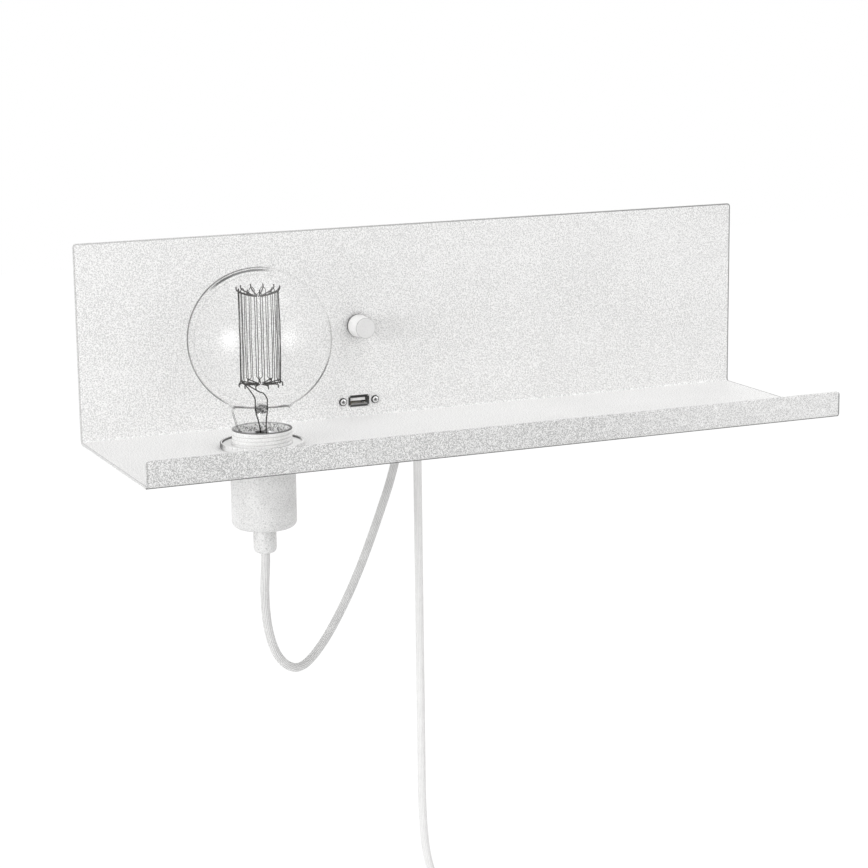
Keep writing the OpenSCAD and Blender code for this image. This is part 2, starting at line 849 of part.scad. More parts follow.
module usb_contacts() {
    first = -(contact_n - 1) / 2;
    color("gold") for (i = [0 : contact_n - 1])
        translate([control_x + (first + i) * contact_pitch - contact_w / 2,
                   usb_block_front - contact_l, tongue_low - contact_t])
            cube([contact_w, contact_l, contact_t]);
}

// Bar behind the box wall that carries the socket and takes its two screws
module usb_carrier() {
    half = usb_screw_spacing / 2 + carrier_side;
    y = [box_front_inner, box_front_inner + carrier_t];
    color("dimgray") difference() {
        block([control_x - half, control_x + half], y, [usb_z - carrier_h / 2, usb_z + carrier_h / 2]);
        block([control_x - usb_w / 2, control_x + usb_w / 2], [y[0] - cut, y[1] + cut],
              [usb_z - usb_h / 2, usb_z + usb_h / 2]);
        for (s = sides)
            rod_y(control_x + s * usb_screw_spacing / 2, [y[0] - cut, y[1] + cut], usb_z,
                  usb_screw_d + thread_clearance);
    }
}

// Domed screw heads with a cross recess
module usb_screws() {
    head_r = usb_head_d / 2;
    dome_r = (pow(head_r, 2) + pow(usb_head_h, 2)) / (2 * usb_head_h);
    color("silver") for (s = sides) translate([s * usb_screw_spacing / 2, 0, 0]) out_of_plate(usb_z) {
        difference() {
            intersection() {
                translate([0, 0, usb_head_h - dome_r]) sphere(dome_r);
                cylinder(h = usb_head_h + cut, r = head_r);
            }
            for (a = [0, 90]) rotate([0, 0, a])
                translate([-cross_l / 2, -cross_w / 2, usb_head_h - cross_depth])
                    cube([cross_l, cross_w, cross_depth + cut]);
        }
        translate([0, 0, -usb_screw_l]) cylinder(h = usb_screw_l, d = usb_screw_d);
    }
}

usb_board_low = usb_z + usb_h / 2;
usb_board_top = usb_board_low + board_t;
usb_board_front = box_front_inner + carrier_t + usb_board_gap;

module usb_board() {
    color("seagreen") block([control_x - usb_board_w / 2, control_x + usb_board_w / 2],
        [usb_board_front, usb_board_front + usb_board_d], [usb_board_low, usb_board_top]);
}

// Small transformer and two capacitors of the USB supply
module usb_supply_parts() {
    middle_y = usb_board_front + usb_board_d / 2;
    color("khaki") translate([control_x - transformer_left, middle_y - transformer_size.y / 2, usb_board_top])
        cube(transformer_size);
    color("darkslateblue") for (share = capacitor_right_share)
        translate([control_x + share * usb_board_w, middle_y, usb_board_top])
            cylinder(h = capacitor_h, d = capacitor_d);
}

function post_x() = [box_left + box_t, box_right - box_t - post_w];
function post_z() = [box_low + box_t, box_high - box_t - post_w];

module at_lid_screws() {
    for (x = post_x(), z = post_z())
        translate([x + post_w / 2, box_rear, z + post_w / 2]) rotate([90, 0, 0]) children();
}

module electronics_box() {
    saddle = [lamp_cord_x - clamp_side, mains_cord_x + clamp_side];
    color("lightgray") difference() {
        union() {
            difference() {
                block([box_left, box_right], [plate_back, box_rear], [box_low, box_high]);
                block([box_left + box_t, box_right - box_t], [box_front_inner, box_rear + cut],
                      [box_low + box_t, box_high - box_t]);
            }
            for (x = post_x(), z = post_z())
                block([x - box_t / 2, x + post_w + box_t / 2], [plate_back + box_t / 2, box_rear],
                      [z - box_t / 2, z + post_w + box_t / 2]);
            block(saddle, [plate_back + box_t / 2, saddle_rear], [clamp_low, clamp_high]);
        }
        at_lid_screws() translate([0, 0, -cut])
            cylinder(h = lid_screw_l + cut, d = lid_screw_d + thread_clearance);
        rod_y(control_x, [plate_back - cut, box_front_inner + cut], knob_z, bush_d + bush_clearance);
        usb_openings([plate_back - cut, box_front_inner + cut]);
        for (x = [lamp_cord_x, mains_cord_x]) {
            rod_z(x, cord_y, [box_low - cut, box_low + box_t + cut / 2], gland_neck_d + gland_clearance);
            rod_z(x, cord_y, [clamp_low - cut, clamp_high + cut], cord_d + cord_clearance);
        }
        for (x = [lamp_cord_x - clamp_screw_side, mains_cord_x + clamp_screw_side])
            rod_y(x, [saddle_rear - clamp_screw_l, saddle_rear + cut], clamp_low + clamp_h / 2,
                  clamp_screw_d + thread_clearance);
    }
}

module electronics_lid() {
    color("lightgray") difference() {
        block([box_left, box_right], [box_rear, box_rear + lid_t], [box_low, box_high]);
        at_lid_screws() {
            translate([0, 0, -lid_t - cut]) cylinder(h = lid_t + 2 * cut, d = lid_screw_d + lid_clearance);
            translate([0, 0, -lid_t - cut]) cylinder(h = lid_head_h + cut, d = lid_head_d + lid_clearance);
        }
    }
}

module lid_screws() {
    color("silver") at_lid_screws() {
        translate([0, 0, -lid_t]) cylinder(h = lid_head_h, d = lid_head_d);
        translate([0, 0, -lid_t]) cylinder(h = lid_screw_l + lid_t - cut, d = lid_screw_d);
    }
}

module at_terminals() {
    first = -(terminal_n - 1) / 2;
    for (i = [0 : terminal_n - 1])
        translate([terminal_x + (first + i) * terminal_pitch, terminal_rear,
                   terminal_low + terminal_size.z / 2])
            rotate([90, 0, 0]) children();
}

module terminal_block() {
    color("white") difference() {
        block([terminal_x - terminal_size.x / 2, terminal_x + terminal_size.x / 2],
              [box_front_inner, terminal_rear], [terminal_low, terminal_low + terminal_size.z]);
        at_terminals() translate([0, 0, -cut])
            cylinder(h = terminal_hole_l + cut, d = terminal_screw_d + thread_clearance);
    }
}

module terminal_screws() {
    color("silver") at_terminals() translate([0, 0, terminal_hole_l - terminal_screw_l])
        cylinder(h = terminal_screw_l, d = terminal_screw_d);
}

module cord_clamp() {
    color("white") difference() {
        block([lamp_cord_x - clamp_side, mains_cord_x + clamp_side], [clamp_front, clamp_front + clamp_t],
              [clamp_low, clamp_high]);
        for (x = [lamp_cord_x, mains_cord_x])
            rod_z(x, cord_y, [clamp_low - cut, clamp_high + cut], cord_d + cord_clearance);
        for (x = [lamp_cord_x - clamp_screw_side, mains_cord_x + clamp_screw_side])
            rod_y(x, [clamp_front - cut, clamp_front + clamp_t + cut], clamp_low + clamp_h / 2,
                  clamp_screw_d + thread_clearance);
    }
}

module clamp_screws() {
    rear = clamp_front + clamp_t;
    color("silver") for (x = [lamp_cord_x - clamp_screw_side, mains_cord_x + clamp_screw_side]) {
        rod_y(x, [rear, rear + clamp_head_h], clamp_low + clamp_h / 2, clamp_head_d);
        rod_y(x, [rear - clamp_screw_l, rear], clamp_low + clamp_h / 2, clamp_screw_d);
    }
}

module inner_wires() {
    top = terminal_low + terminal_size.z;
    color("brown") tube(fitted(dimmer_wire_route,
        [terminal_x - dimmer_wire_left, box_front_inner + dimmer_wire_depth, top],
        [control_x + dimmer_wire_to.x, dimmer_board_y, knob_z - dimmer_wire_to.y]),
        inner_wire_d / 2, coil_sides);
    color("navy") tube(fitted(usb_wire_route,
        [terminal_x - usb_wire_left, box_front_inner + usb_wire_depth, top],
        [control_x + usb_wire_to.x, box_front_inner + usb_wire_to.y, usb_board_top]),
        inner_wire_d / 2, coil_sides);
}

// Ribbed, tapered bush that holds both walls between its two flanges
module gland(x) {
    top = frame_low + gland_neck_l + gland_flange_t;
    flange_low = frame_low - gland_flange_t;
    rib_step = (gland_l - gland_flange_t) / (gland_rib_n + 1);
    color("white") translate([x, cord_y, 0]) difference() {
        union() {
            rod_z(0, 0, [flange_low, frame_low], gland_flange_d);
            rod_z(0, 0, [flange_low, top], gland_neck_d);
            rod_z(0, 0, [frame_low + gland_neck_l, top], gland_flange_d);
            translate([0, 0, gland_tip_z])
                cylinder(h = flange_low - gland_tip_z, d1 = gland_tip_d, d2 = gland_neck_d);
            for (i = [1 : gland_rib_n])
                translate([0, 0, gland_tip_z + i * rib_step])
                    cylinder(h = rib_step / 3, d = gland_tip_d + 2 * gland_rib_h
                        + (gland_neck_d - gland_tip_d) * i / gland_rib_n);
        }
        rod_z(0, 0, [gland_tip_z - cut, top + cut], cord_d + cord_clearance);
    }
}

module lamp_gland() {
    gland(lamp_cord_x);
}

module mains_gland() {
    gland(mains_cord_x);
}

// Ends of both cords inside the box, each with two bare-ended conductors
module cord_tails() {
    sheath_top = clamp_high + tail_rise;
    color("white") for (x = [lamp_cord_x, mains_cord_x]) {
        rod_z(x, cord_y, [gland_tip_z, sheath_top], cord_d);
        for (s = sides)
            rod_z(x + s * conductor_offset, cord_y, [sheath_top - cut, terminal_low], conductor_d);
    }
}

// Lower shell of the lampholder, with a ledge for the core and a rounded foot
module holder_cup() {
    r = cup_d / 2;
    bore_r = cup_bore / 2;
    color("whitesmoke") at_holder() rotate_extrude() difference() {
        rounded_foot(r, cup_low, cup_h, cup_round);
        translate([0, core_low]) square([bore_r, floor_z - core_low + cut]);
        translate([0, cup_low + cup_floor_t]) square([bore_r - cup_ledge, cup_h]);
        translate([0, cup_low - cut]) square([(nipple_d + nipple_clearance) / 2, cup_h]);
    }
}

// Threaded collar: a skirt in the cup and ridges above the shelf
module holder_collar() {
    root_r = collar_root_d / 2;
    crest_r = collar_d / 2;
    skirt_r = skirt_d / 2;
    teeth = [
        for (i = [0 : tooth_n - 1], k = [0 : 3])
            [k == 0 || k == 3 ? root_r : crest_r, tray_z + (i + tooth_shares[k]) * collar_pitch]
    ];
    color("whitesmoke") at_holder() rotate_extrude() polygon(concat(
        [[collar_bore / 2, skirt_low], [skirt_r, skirt_low], [skirt_r, floor_z], [root_r, floor_z]],
        teeth, [[root_r, collar_top], [collar_bore / 2, collar_top]]));
}

// Ring nut with a raised, notched rim that clamps the collar to the shelf
module shade_ring() {
    r = ring_d / 2;
    bore_r = (collar_d + ring_clearance) / 2;
    color("whitesmoke") at_holder() difference() {
        translate([0, 0, tray_z]) rotate_extrude() {
            translate([bore_r, 0]) square([r - bore_r, ring_t]);
            translate([r - ring_rim_w, 0]) square([ring_rim_w, ring_rim_h]);
        }
        for (i = [0 : ring_notch_n - 1]) rotate([0, 0, 360 * i / ring_notch_n])
            translate([r - ring_notch_depth, -ring_notch_w / 2, tray_z + ring_t])
                cube([ring_notch_depth + cut, ring_notch_w, ring_rim_h]);
    }
}

// Insulating core that carries the screw shell and the contacts
module holder_core() {
    color("ivory") at_holder() difference() {
        union() {
            rod_z(0, 0, [core_low, skirt_low], core_base_d);
            rod_z(0, 0, [core_low, core_top], core_wall_d);
        }
        rod_z(0, 0, [skirt_low, core_top + cut], shell_d + 2 * shell_clearance);
        for (s = sides)
            rod_z(s * core_screw_offset, 0, [core_low - cut, core_low + core_screw_l],
                  core_screw_d + thread_clearance);
    }
}

// Round thread: circles whose middle goes once round the axis per pitch of height
module round_thread(r, low, high) {
    steps = ceil((high - low) / cap_pitch * thread_steps);
    points = [
        for (i = [0 : steps], k = [0 : thread_sides - 1])
            let (z = low + (high - low) * i / steps, a = 360 * z / cap_pitch, b = 360 * k / thread_sides)
                [thread_swing * cos(a) + r * cos(b), thread_swing * sin(a) + r * sin(b), z]
    ];
    polyhedron(
        points = points,
        faces = concat(side_faces(steps + 1, thread_sides), cap_faces(0, thread_sides, false),
                       cap_faces(steps * thread_sides, thread_sides, true)),
        convexity = 10);
}

module screw_shell() {
    color("gold") at_holder() union() {
        difference() {
            rod_z(0, 0, [shell_low, shell_top], shell_d);
            round_thread(cap_thread_r + thread_play, shell_low - cut, shell_top + cut);
        }
        intersection() {
            difference() {
                rod_z(0, 0, [skirt_low, shell_low + cut / 2], shell_d);
                rod_z(0, 0, [skirt_low - cut, shell_low + cut], shell_d - 2 * shell_tab_t);
            }
            block([0, shell_d], [-shell_tab_w / 2, shell_tab_w / 2], [skirt_low - cut, shell_low + cut]);
        }
    }
}

// Bent spring strip under the bulb's contact
module centre_contact() {
    half = contact_strip_w / 2;
    top = tip_z - contact_gap;
    color("gold") at_holder() union() {
        block(contact_foot, [-half, half], [skirt_low, skirt_low + contact_strip_t]);
        block([contact_foot[0], contact_foot[0] + contact_strip_t], [-half, half], [skirt_low, top]);
        block([-contact_tongue, contact_foot[0] + contact_strip_t], [-half, half],
              [top - contact_strip_t, top]);
    }
}

module core_screws() {
    color("silver") at_holder() for (s = sides) {
        rod_z(s * core_screw_offset, 0, [core_low - core_screw_head_h, core_low], core_screw_head_d);
        rod_z(s * core_screw_offset, 0, [core_low - core_screw_head_h, core_low + core_screw_l - cut],
              core_screw_d);
    }
}

nipple_low = cup_low - nipple_below;
nipple_high = cup_low + cup_floor_t + nipple_above;
grip_low = cup_low - grip_h;

module holder_nipple() {
    color("silver") at_holder() difference() {
        rod_z(0, 0, [nipple_low, nipple_high], nipple_d);
        rod_z(0, 0, [nipple_low - cut, nipple_high + cut], nipple_bore);
    }
}

module nipple_nut() {
    color("silver") at_holder() translate([0, 0, cup_low + cup_floor_t]) difference() {
        hex_prism(nipple_nut_across, nipple_nut_h);
        translate([0, 0, -cut]) cylinder(h = nipple_nut_h + 2 * cut, d = nipple_d + nut_clearance);
    }
}

grip_screw_z = cup_low - grip_screw_drop;

module cord_grip() {
    r = grip_d / 2;
    color("whitesmoke") at_holder() difference() {
        rotate_extrude() difference() {
            rounded_foot(r, grip_low, grip_h, grip_round);
            translate([0, nipple_low - grip_socket_gap]) square([(nipple_d + nipple_clearance) / 2, grip_h]);
            translate([0, grip_low - cut]) square([(cord_d + cord_clearance) / 2, grip_h]);
        }
        rod_y(0, [0, r + cut], grip_screw_z, grip_screw_d + thread_clearance);
    }
}

module grip_screw() {
    color("white") at_holder()
        rod_y(0, [(cord_d + cord_clearance) / 2, grip_d / 2 - grip_screw_inset], grip_screw_z, grip_screw_d);
}

// End of the lamp's cord inside the holder, with its two conductors
module holder_tail() {
    sheath_top = nipple_high + holder_tail_rise / 4;
    end_z = core_low - core_screw_head_h - holder_wire_end;
    color("white") at_holder() {
        rod_z(0, 0, [grip_low, sheath_top], cord_d);
        for (s = sides)
            strut([s * conductor_offset, 0, sheath_top - cut], [s * core_screw_offset, 0, end_z],
                  conductor_d / 2);
    }
}

// Outline of the glass, drawn in by t to give its inside
module glass_outline(t) {
    near = (globe_r - glass_t) / (globe_r + neck_fillet_r);
    tangent = [neck_fillet_x * near, globe_z + (neck_fillet_z - globe_z) * near];
    neck_seat_z = cap_rim_z + neck_seat_rise;
    intersection() {
        translate([0, globe_z]) circle(globe_r - t, $fn = 96);
        translate([0, globe_z - globe_d]) square([globe_d, 2 * globe_d]);
    }
    difference() {
        polygon([[0, neck_fillet_z], [neck_fillet_x, neck_fillet_z], tangent, [0, tangent.y]]);
        translate([neck_fillet_x, neck_fillet_z]) circle(neck_fillet_r + t);
    }
    polygon([[0, neck_fillet_z + neck_fillet_r], [0, neck_fillet_z], [0, stem_z - (t > 0 ? cut : 0)],
             [neck_foot_r - t, stem_z - (t > 0 ? cut : 0)], [neck_foot_r - t, neck_seat_z],
             [neck_mid_r - t, cap_rim_z + neck_mid_rise], [neck_r - t, neck_fillet_z],
             [neck_r - t, neck_fillet_z + cut / 2], [0, neck_fillet_z + neck_fillet_r]]);
}

module bulb_glass() {
    color("lightcyan", 0.4) at_holder() rotate_extrude() difference() {
        glass_outline(0);
        glass_outline(glass_t);
    }
}

module bulb_cap() {
    color("silver") at_holder() difference() {
        union() {
            round_thread(cap_thread_r, cap_thread_low, cap_thread_high);
            rod_z(0, 0, [cap_thread_high - cap_skirt_sink, cap_rim_z], 2 * cap_skirt_r);
            translate([0, 0, cap_cone_low])
                cylinder(h = cap_thread_low - cap_cone_low + cap_wall / 2, r1 = cap_cone_r, r2 = cap_bore_r);
        }
        rod_z(0, 0, [cap_thread_low + cap_wall, cap_rim_z + cut], 2 * cap_bore_r);
        rod_z(0, 0, [cap_cone_low - cut, cap_thread_low + cut], 2 * (insulator_top_r + insulator_gap));
    }
}

// Dark glass between the cap and the contact
module cap_insulator() {
    color("black") at_holder() union() {
        translate([0, 0, tip_z + tip_h])
            cylinder(h = cap_cone_low - tip_z - tip_h, r1 = insulator_low_r, r2 = insulator_top_r);
        rod_z(0, 0, [cap_cone_low - cut / 10, cap_cone_low + insulator_sink], 2 * insulator_top_r);
    }
}

module cap_tip() {
    color("silver") at_holder() translate([0, 0, tip_z]) cylinder(h = tip_h, r1 = tip_r * 0.8, r2 = tip_r);
}

// Flared tube, flat pinch and centre rod of the glass mount
module glass_stem() {
    rod_low = pinch_z + pinch_h;
    color("lightcyan", 0.5) at_holder() union() {
        rotate_extrude() polygon([
            [stem_low_r - stem_wall, stem_z], [stem_low_r, stem_z], [stem_r, stem_z + stem_bell_h],
            [stem_r, pinch_z + cut], [stem_r - stem_wall, pinch_z + cut],
            [stem_r - stem_wall, stem_z + stem_bell_h]]);
        block([-pinch_size.x / 2, pinch_size.x / 2], [-pinch_size.y / 2, pinch_size.y / 2],
              [pinch_z, rod_low]);
        translate([0, 0, rod_low - cut])
            cylinder(h = cage_low - rod_low + cut, r1 = rod_foot_r, r2 = button_r);
        rod_z(0, 0, [cage_low - cut, cage_high - hook_sag], 2 * rod_r);
        rod_z(0, 0, [cage_low - button_h / 2, cage_low + button_h / 2], 2 * button_r);
        rod_z(0, 0, [cage_high - hook_sag - button_h, cage_high - hook_sag], 2 * button_r);
    }
}

// Height where the hooks hold the filament, above and below
hook_high = cage_high - turn_rise;
hook_low = cage_low + turn_rise;
hook_end = cage_r + hook_past;
arm_r = button_r + hook_gap;
function on_circle(r, angle, z) = [r * cos(angle + cage_turn), r * sin(angle + cage_turn), z];

module hook(angle, hub_z, end_z, tip_z) {
    tube([on_circle(arm_r, angle, hub_z), on_circle(hook_end, angle, end_z),
          on_circle(hook_end + hook_r, angle, tip_z)], hook_r, coil_sides);
}

// Wire hooks that stand out of the two glass buttons, every second gap above and below
module filament_hooks() {
    color("dimgray") at_holder() for (i = [0 : strand_n / 2 - 1]) {
        hook((2 * i + 0.5) * strand_step, cage_high - hook_sag - button_h / 2, hook_high,
             hook_high + hook_tip);
        hook((2 * i + 1.5) * strand_step, cage_low, hook_low, hook_low - hook_tip);
    }
}

// One wire that runs up and down between the hooks all the way round
hook_clearance = 0.1;
turn_offset = hook_r + filament_r + hook_clearance;
strand_high = hook_high - turn_rise;
strand_low = hook_low + turn_rise;
filament_route = [
    for (i = [0 : strand_n - 1], k = [0 : 2])
        let (up = i % 2 == 0, end_z = up ? strand_high : strand_low,
             turn_z = up ? hook_high + turn_offset : hook_low - turn_offset)
            k == 0 ? on_circle(cage_r, i * strand_step, up ? strand_low : strand_high)
            : k == 1 ? on_circle(cage_r, i * strand_step, end_z)
            : on_circle(cage_r, (i + 0.5) * strand_step, turn_z)
];
filament_points = [for (i = [0 : len(filament_route) - 2]) filament_route[i]];

module filament() {
    color("orange") at_holder() tube(filament_points, filament_r, coil_sides);
}

// Two lead wires from the stem's pinch to the two ends of the filament, one of them round the rod
lead_top = pinch_z + pinch_h;
filament_start = filament_points[0];
filament_end = filament_points[len(filament_points) - 1];
function lead_points(side, end) = concat(
    [[side * lead_side, 0, lead_top], [side * lead_side, 0, lead_top + lead_knee]],
    side * end.x < 0 ? [[0, lead_way, lead_top + lead_knee + lead_way_rise]] : [],
    [[end.x, end.y, hook_low - hook_tip], [end.x, end.y, end.z - filament_r]]);
module lead_wires() {
    color("dimgray") at_holder() {
        tube(lead_points(-1, filament_start), lead_r, coil_sides);
        tube(lead_points(1, filament_end), lead_r, coil_sides);
    }
}

lamp_points = fitted(lamp_route, [lamp_cord_x, cord_y, gland_tip_z],
    [holder_axis_x, holder_axis_y, grip_low]);
mains_points = fitted(mains_route, [mains_cord_x, cord_y, gland_tip_z],
    [coil_x + coil_outer_r, coil_front_y, coil_z + cord_d]);

module lamp_cord() {
    color("white") tube(lamp_points, cord_d / 2, cord_sides);
}

module mains_cord() {
    color("white") tube(mains_points, cord_d / 2, cord_sides);
}

// Coil of two layers: the cord spirals in, climbs a layer over half a turn, and spirals out
function coil_radius(t) = coil_inner_r + coil_step * abs(t);
function coil_share(t) = t < -0.25 ? 0 : t > 0.25 ? 1 : eased(2 * t + 0.5);
function coil_point(t) = [
    coil_x + coil_radius(t) * cos(360 * t),
    coil_front_y + (coil_back_y - coil_front_y) * coil_share(t),
    coil_z - coil_radius(t) * sin(360 * t)
];
coil_loops = [for (i = [0 : 2 * coil_turns * loop_rings]) coil_point(i / loop_rings - coil_turns)];
coil_points = concat(
    [[coil_x + coil_outer_r, coil_front_y, coil_z + cord_d]], coil_loops,
    [[coil_x + coil_outer_r, coil_back_y, coil_z - cord_d],
     [coil_x + coil_outer_r, coil_back_y, coil_z - coil_tail]]);
coil_gap = min([
    for (i = [0 : len(coil_loops) - 1 - loop_rings / 2], j = [i + loop_rings / 2 : len(coil_loops) - 1])
        norm(coil_loops[i] - coil_loops[j])]) - cord_d;
echo(coil_gap = coil_gap);
echo(lamp_cord_length = run_length(lamp_points));
echo(mains_cord_length = run_length(mains_points) + run_length(coil_points));

module mains_cord_coil() {
    color("white") tube(coil_points, cord_d / 2, coil_sides);
}

// Band round both layers of turns, on the side away from the plug
module cord_tie() {
    inner_w = coil_outer_r - coil_inner_r - coil_step + cord_d + 2 * tie_gap;
    inner_h = coil_back_y - coil_front_y + cord_d + 2 * tie_gap;
    middle_x = coil_x - (coil_inner_r + coil_outer_r) / 2;
    middle_y = (coil_front_y + coil_back_y) / 2;
    color("black") translate([middle_x, middle_y, coil_z - tie_w / 2]) linear_extrude(tie_w) difference() {
        rounded_rect(inner_w + 2 * tie_t, inner_h + 2 * tie_t, tie_round + tie_t);
        rounded_rect(inner_w, inner_h, tie_round);
    }
}

// Flat two-pin plug with a ribbed neck
module plug_body() {
    neck_low = plug_top - plug_neck_l;
    rib_step = plug_neck_l / (plug_rib_n + 1);
    color("white") translate([plug_x, plug_y, 0]) union() {
        translate([0, 0, neck_low]) cylinder(h = plug_neck_l, d1 = plug_neck_low_d, d2 = plug_neck_d);
        for (i = [1 : plug_rib_n]) translate([0, 0, neck_low + i * rib_step - rib_step / 4])
            cylinder(h = rib_step / 2, d = plug_neck_low_d + 2 * plug_rib_h
                - (plug_neck_low_d - plug_neck_d) * i / plug_rib_n);
        hull() {
            translate([0, 0, plug_low]) linear_extrude(plug_face_t)
                rounded_rect(plug_face.x, plug_face.y, plug_round);
            translate([0, 0, neck_low - cut]) linear_extrude(cut)
                rounded_rect(plug_shoulder.x, plug_shoulder.y, plug_round);
        }
    }
}

module plug_pins() {
    color("silver") for (s = sides)
        rod_z(plug_x + s * pin_spacing / 2, plug_y, [plug_low - pin_l, plug_low], pin_d);
}

shelf_panel();
panel_studs();
stud_nuts();
rear_frame();
wall_bracket();
lock_screws();
dimmer_knob();
dimmer_shaft();
dimmer_nut();
dimmer_washer();
dimmer_body();
dimmer_board();
dimmer_parts();
usb_shell();
usb_tongue();
usb_contacts();
usb_carrier();
usb_screws();
usb_board();
usb_supply_parts();
electronics_box();
electronics_lid();
lid_screws();
terminal_block();
terminal_screws();
cord_clamp();
clamp_screws();
inner_wires();
lamp_gland();
mains_gland();
cord_tails();
holder_cup();
holder_collar();
shade_ring();
holder_core();
screw_shell();
centre_contact();
core_screws();
holder_nipple();
nipple_nut();
cord_grip();
grip_screw();
holder_tail();
bulb_glass();
bulb_cap();
cap_insulator();
cap_tip();
glass_stem();
lead_wires();
filament_hooks();
filament();
lamp_cord();
mains_cord();
mains_cord_coil();
cord_tie();
plug_body();
plug_pins();
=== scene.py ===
# %% [markdown]
# # A white wall lamp with a shelf
# One sheet of steel is folded into a back plate, a shelf and a lip. A clear globe bulb stands in a
# lampholder that goes through the shelf, beside a dimmer knob and a USB socket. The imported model
# gives every part's place, so this file only has to make the surfaces that the eye sees. Each
# step starts with a few words on the real thing, on how it could be made, and on the way taken.

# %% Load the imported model
import math

import bmesh
import bpy
import numpy as np
from mathutils import Matrix, Vector


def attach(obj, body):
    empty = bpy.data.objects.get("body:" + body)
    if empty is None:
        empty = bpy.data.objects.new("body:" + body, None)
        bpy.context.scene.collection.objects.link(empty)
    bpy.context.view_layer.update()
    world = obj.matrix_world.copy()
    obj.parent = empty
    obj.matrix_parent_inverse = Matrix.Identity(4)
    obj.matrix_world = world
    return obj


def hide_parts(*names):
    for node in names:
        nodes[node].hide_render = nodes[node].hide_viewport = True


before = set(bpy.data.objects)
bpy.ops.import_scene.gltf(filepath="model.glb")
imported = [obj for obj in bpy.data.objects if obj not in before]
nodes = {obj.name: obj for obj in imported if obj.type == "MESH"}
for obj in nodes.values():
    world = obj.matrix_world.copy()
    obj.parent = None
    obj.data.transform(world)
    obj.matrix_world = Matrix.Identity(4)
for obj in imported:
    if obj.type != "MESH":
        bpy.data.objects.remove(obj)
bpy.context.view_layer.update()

# %% [markdown]
# The camera comes first, because everything is judged through it. It could be moved by eye until
# the view looks right, but then no size could be read from the picture. Its place and its angles
# were worked out instead, from the corners of the plate and the lip, whose real sizes are known: a
# camera that puts eight known corners where the picture shows them is fixed in place, turn and zoom.

# %% Camera
MM = 0.001
IMAGE_SIDE = 868
SENSOR = 36.0
FOCAL_PIXELS = 2333.2
CLIP_END = 50.0
EYE = np.array([-648.3, -1520.2, 226.6]) * MM
AZIMUTH, ELEVATION, ROLL = (math.radians(a) for a in (23.714, 11.723, -0.705))

look = np.array([math.sin(AZIMUTH) * math.cos(ELEVATION),
                 math.cos(AZIMUTH) * math.cos(ELEVATION), -math.sin(ELEVATION)])
level_right = np.array([math.cos(AZIMUTH), -math.sin(AZIMUTH), 0.0])
level_up = np.cross(level_right, look)
camera_right = math.cos(ROLL) * level_right + math.sin(ROLL) * level_up
camera_up = -math.sin(ROLL) * level_right + math.cos(ROLL) * level_up

camera_data = bpy.data.cameras.new("camera")
camera_data.sensor_width = SENSOR
camera_data.lens = FOCAL_PIXELS * SENSOR / IMAGE_SIDE
camera_data.clip_end = CLIP_END
camera = bpy.data.objects.new("camera", camera_data)
bpy.context.scene.collection.objects.link(camera)
turn = Matrix([[camera_right[i], camera_up[i], -look[i]] for i in range(3)])
camera.matrix_world = Matrix.Translation(Vector(EYE)) @ turn.to_4x4()
bpy.context.scene.camera = camera
bpy.context.scene.view_settings.view_transform = "Standard"
print("lens", round(camera_data.lens, 2), "mm")

# %% [markdown]
# Every new piece is a mesh. Blender's own tools could spin the turned parts, but a thread that fades
# out, or a cord with its own map, is easier as a formula, so numpy works all of them out as grids of
# points. These helpers turn such a grid into a closed mesh object: doubles at poles and seams are
# merged, the faces are made to point outwards, and edges sharper than a limit stay crisp while the
# rest is shaded smooth.

# %% Helpers that make meshes
CREASE = math.radians(38)
MERGE = 1e-6


def grid_faces(rows, columns, wrap_rows=False, wrap_columns=True):
    """Four-sided faces over a grid of points that is stored row by row: face (i, j) joins rows i
    and i + 1 with columns j and j + 1. Wrapping joins the last row or column to the first."""
    i = np.arange(rows if wrap_rows else rows - 1)[:, None]
    j = np.arange(columns if wrap_columns else columns - 1)[None, :]
    next_i = (i + 1) % rows
    next_j = (j + 1) % columns
    corners = [i * columns + j, i * columns + next_j, next_i * columns + next_j, next_i * columns + j]
    return np.stack(corners, -1).reshape(-1, 4)


def shade(piece, crease=CREASE):
    """Smooth shading, with the edges that are sharper than crease kept crisp."""
    piece.data.shade_smooth()
    piece.data.set_sharp_from_angle(angle=crease)


def mesh_piece(name, points, faces, uv=None, crease=CREASE):
    """A mesh object from an array of points in metres and an array of faces."""
    mesh = bpy.data.meshes.new(name)
    mesh.from_pydata(np.asarray(points).reshape(-1, 3).tolist(), [], np.asarray(faces).tolist())
    if uv is not None:
        layer = mesh.uv_layers.new(name="along")
        layer.data.foreach_set("uv", np.asarray(uv, np.float32).ravel())
    work = bmesh.new()
    work.from_mesh(mesh)
    bmesh.ops.remove_doubles(work, verts=work.verts, dist=MERGE)
    bmesh.ops.recalc_face_normals(work, faces=work.faces)
    work.to_mesh(mesh)
    work.free()
    piece = bpy.data.objects.new(name, mesh)
    bpy.context.scene.collection.objects.link(piece)
    shade(piece, crease)
    return piece


print("a tube of 3 rings with 4 points each has", len(grid_faces(3, 4)), "faces")


# %% Turned pieces and arcs
def lathe_points(profile, sides):
    """A closed outline of (radius, height) points turned round the z axis: point (i, k) lies at
    the outline's radius i, at the angle k of the turn."""
    profile = np.asarray(profile, float)
    a = np.linspace(0, 2 * np.pi, sides, endpoint=False)
    r, z = profile[:, :1], profile[:, 1:]
    return np.stack([r * np.cos(a), r * np.sin(a), np.broadcast_to(z, (len(profile), sides))], -1)


def lathe(name, profile, centre, sides):
    """A turned piece on an upright axis through centre (x, y), in millimetres."""
    points = lathe_points(profile, sides) + np.array([centre[0], centre[1], 0.0])
    return mesh_piece(name, points * MM, grid_faces(len(profile), sides, wrap_rows=True))


def arc(cx, cy, r, start, end, steps):
    """Points on a circle from one angle to another, in degrees, both ends included."""
    a = np.radians(np.linspace(start, end, steps + 1))
    return [(cx + r * math.cos(t), cy + r * math.sin(t)) for t in a]


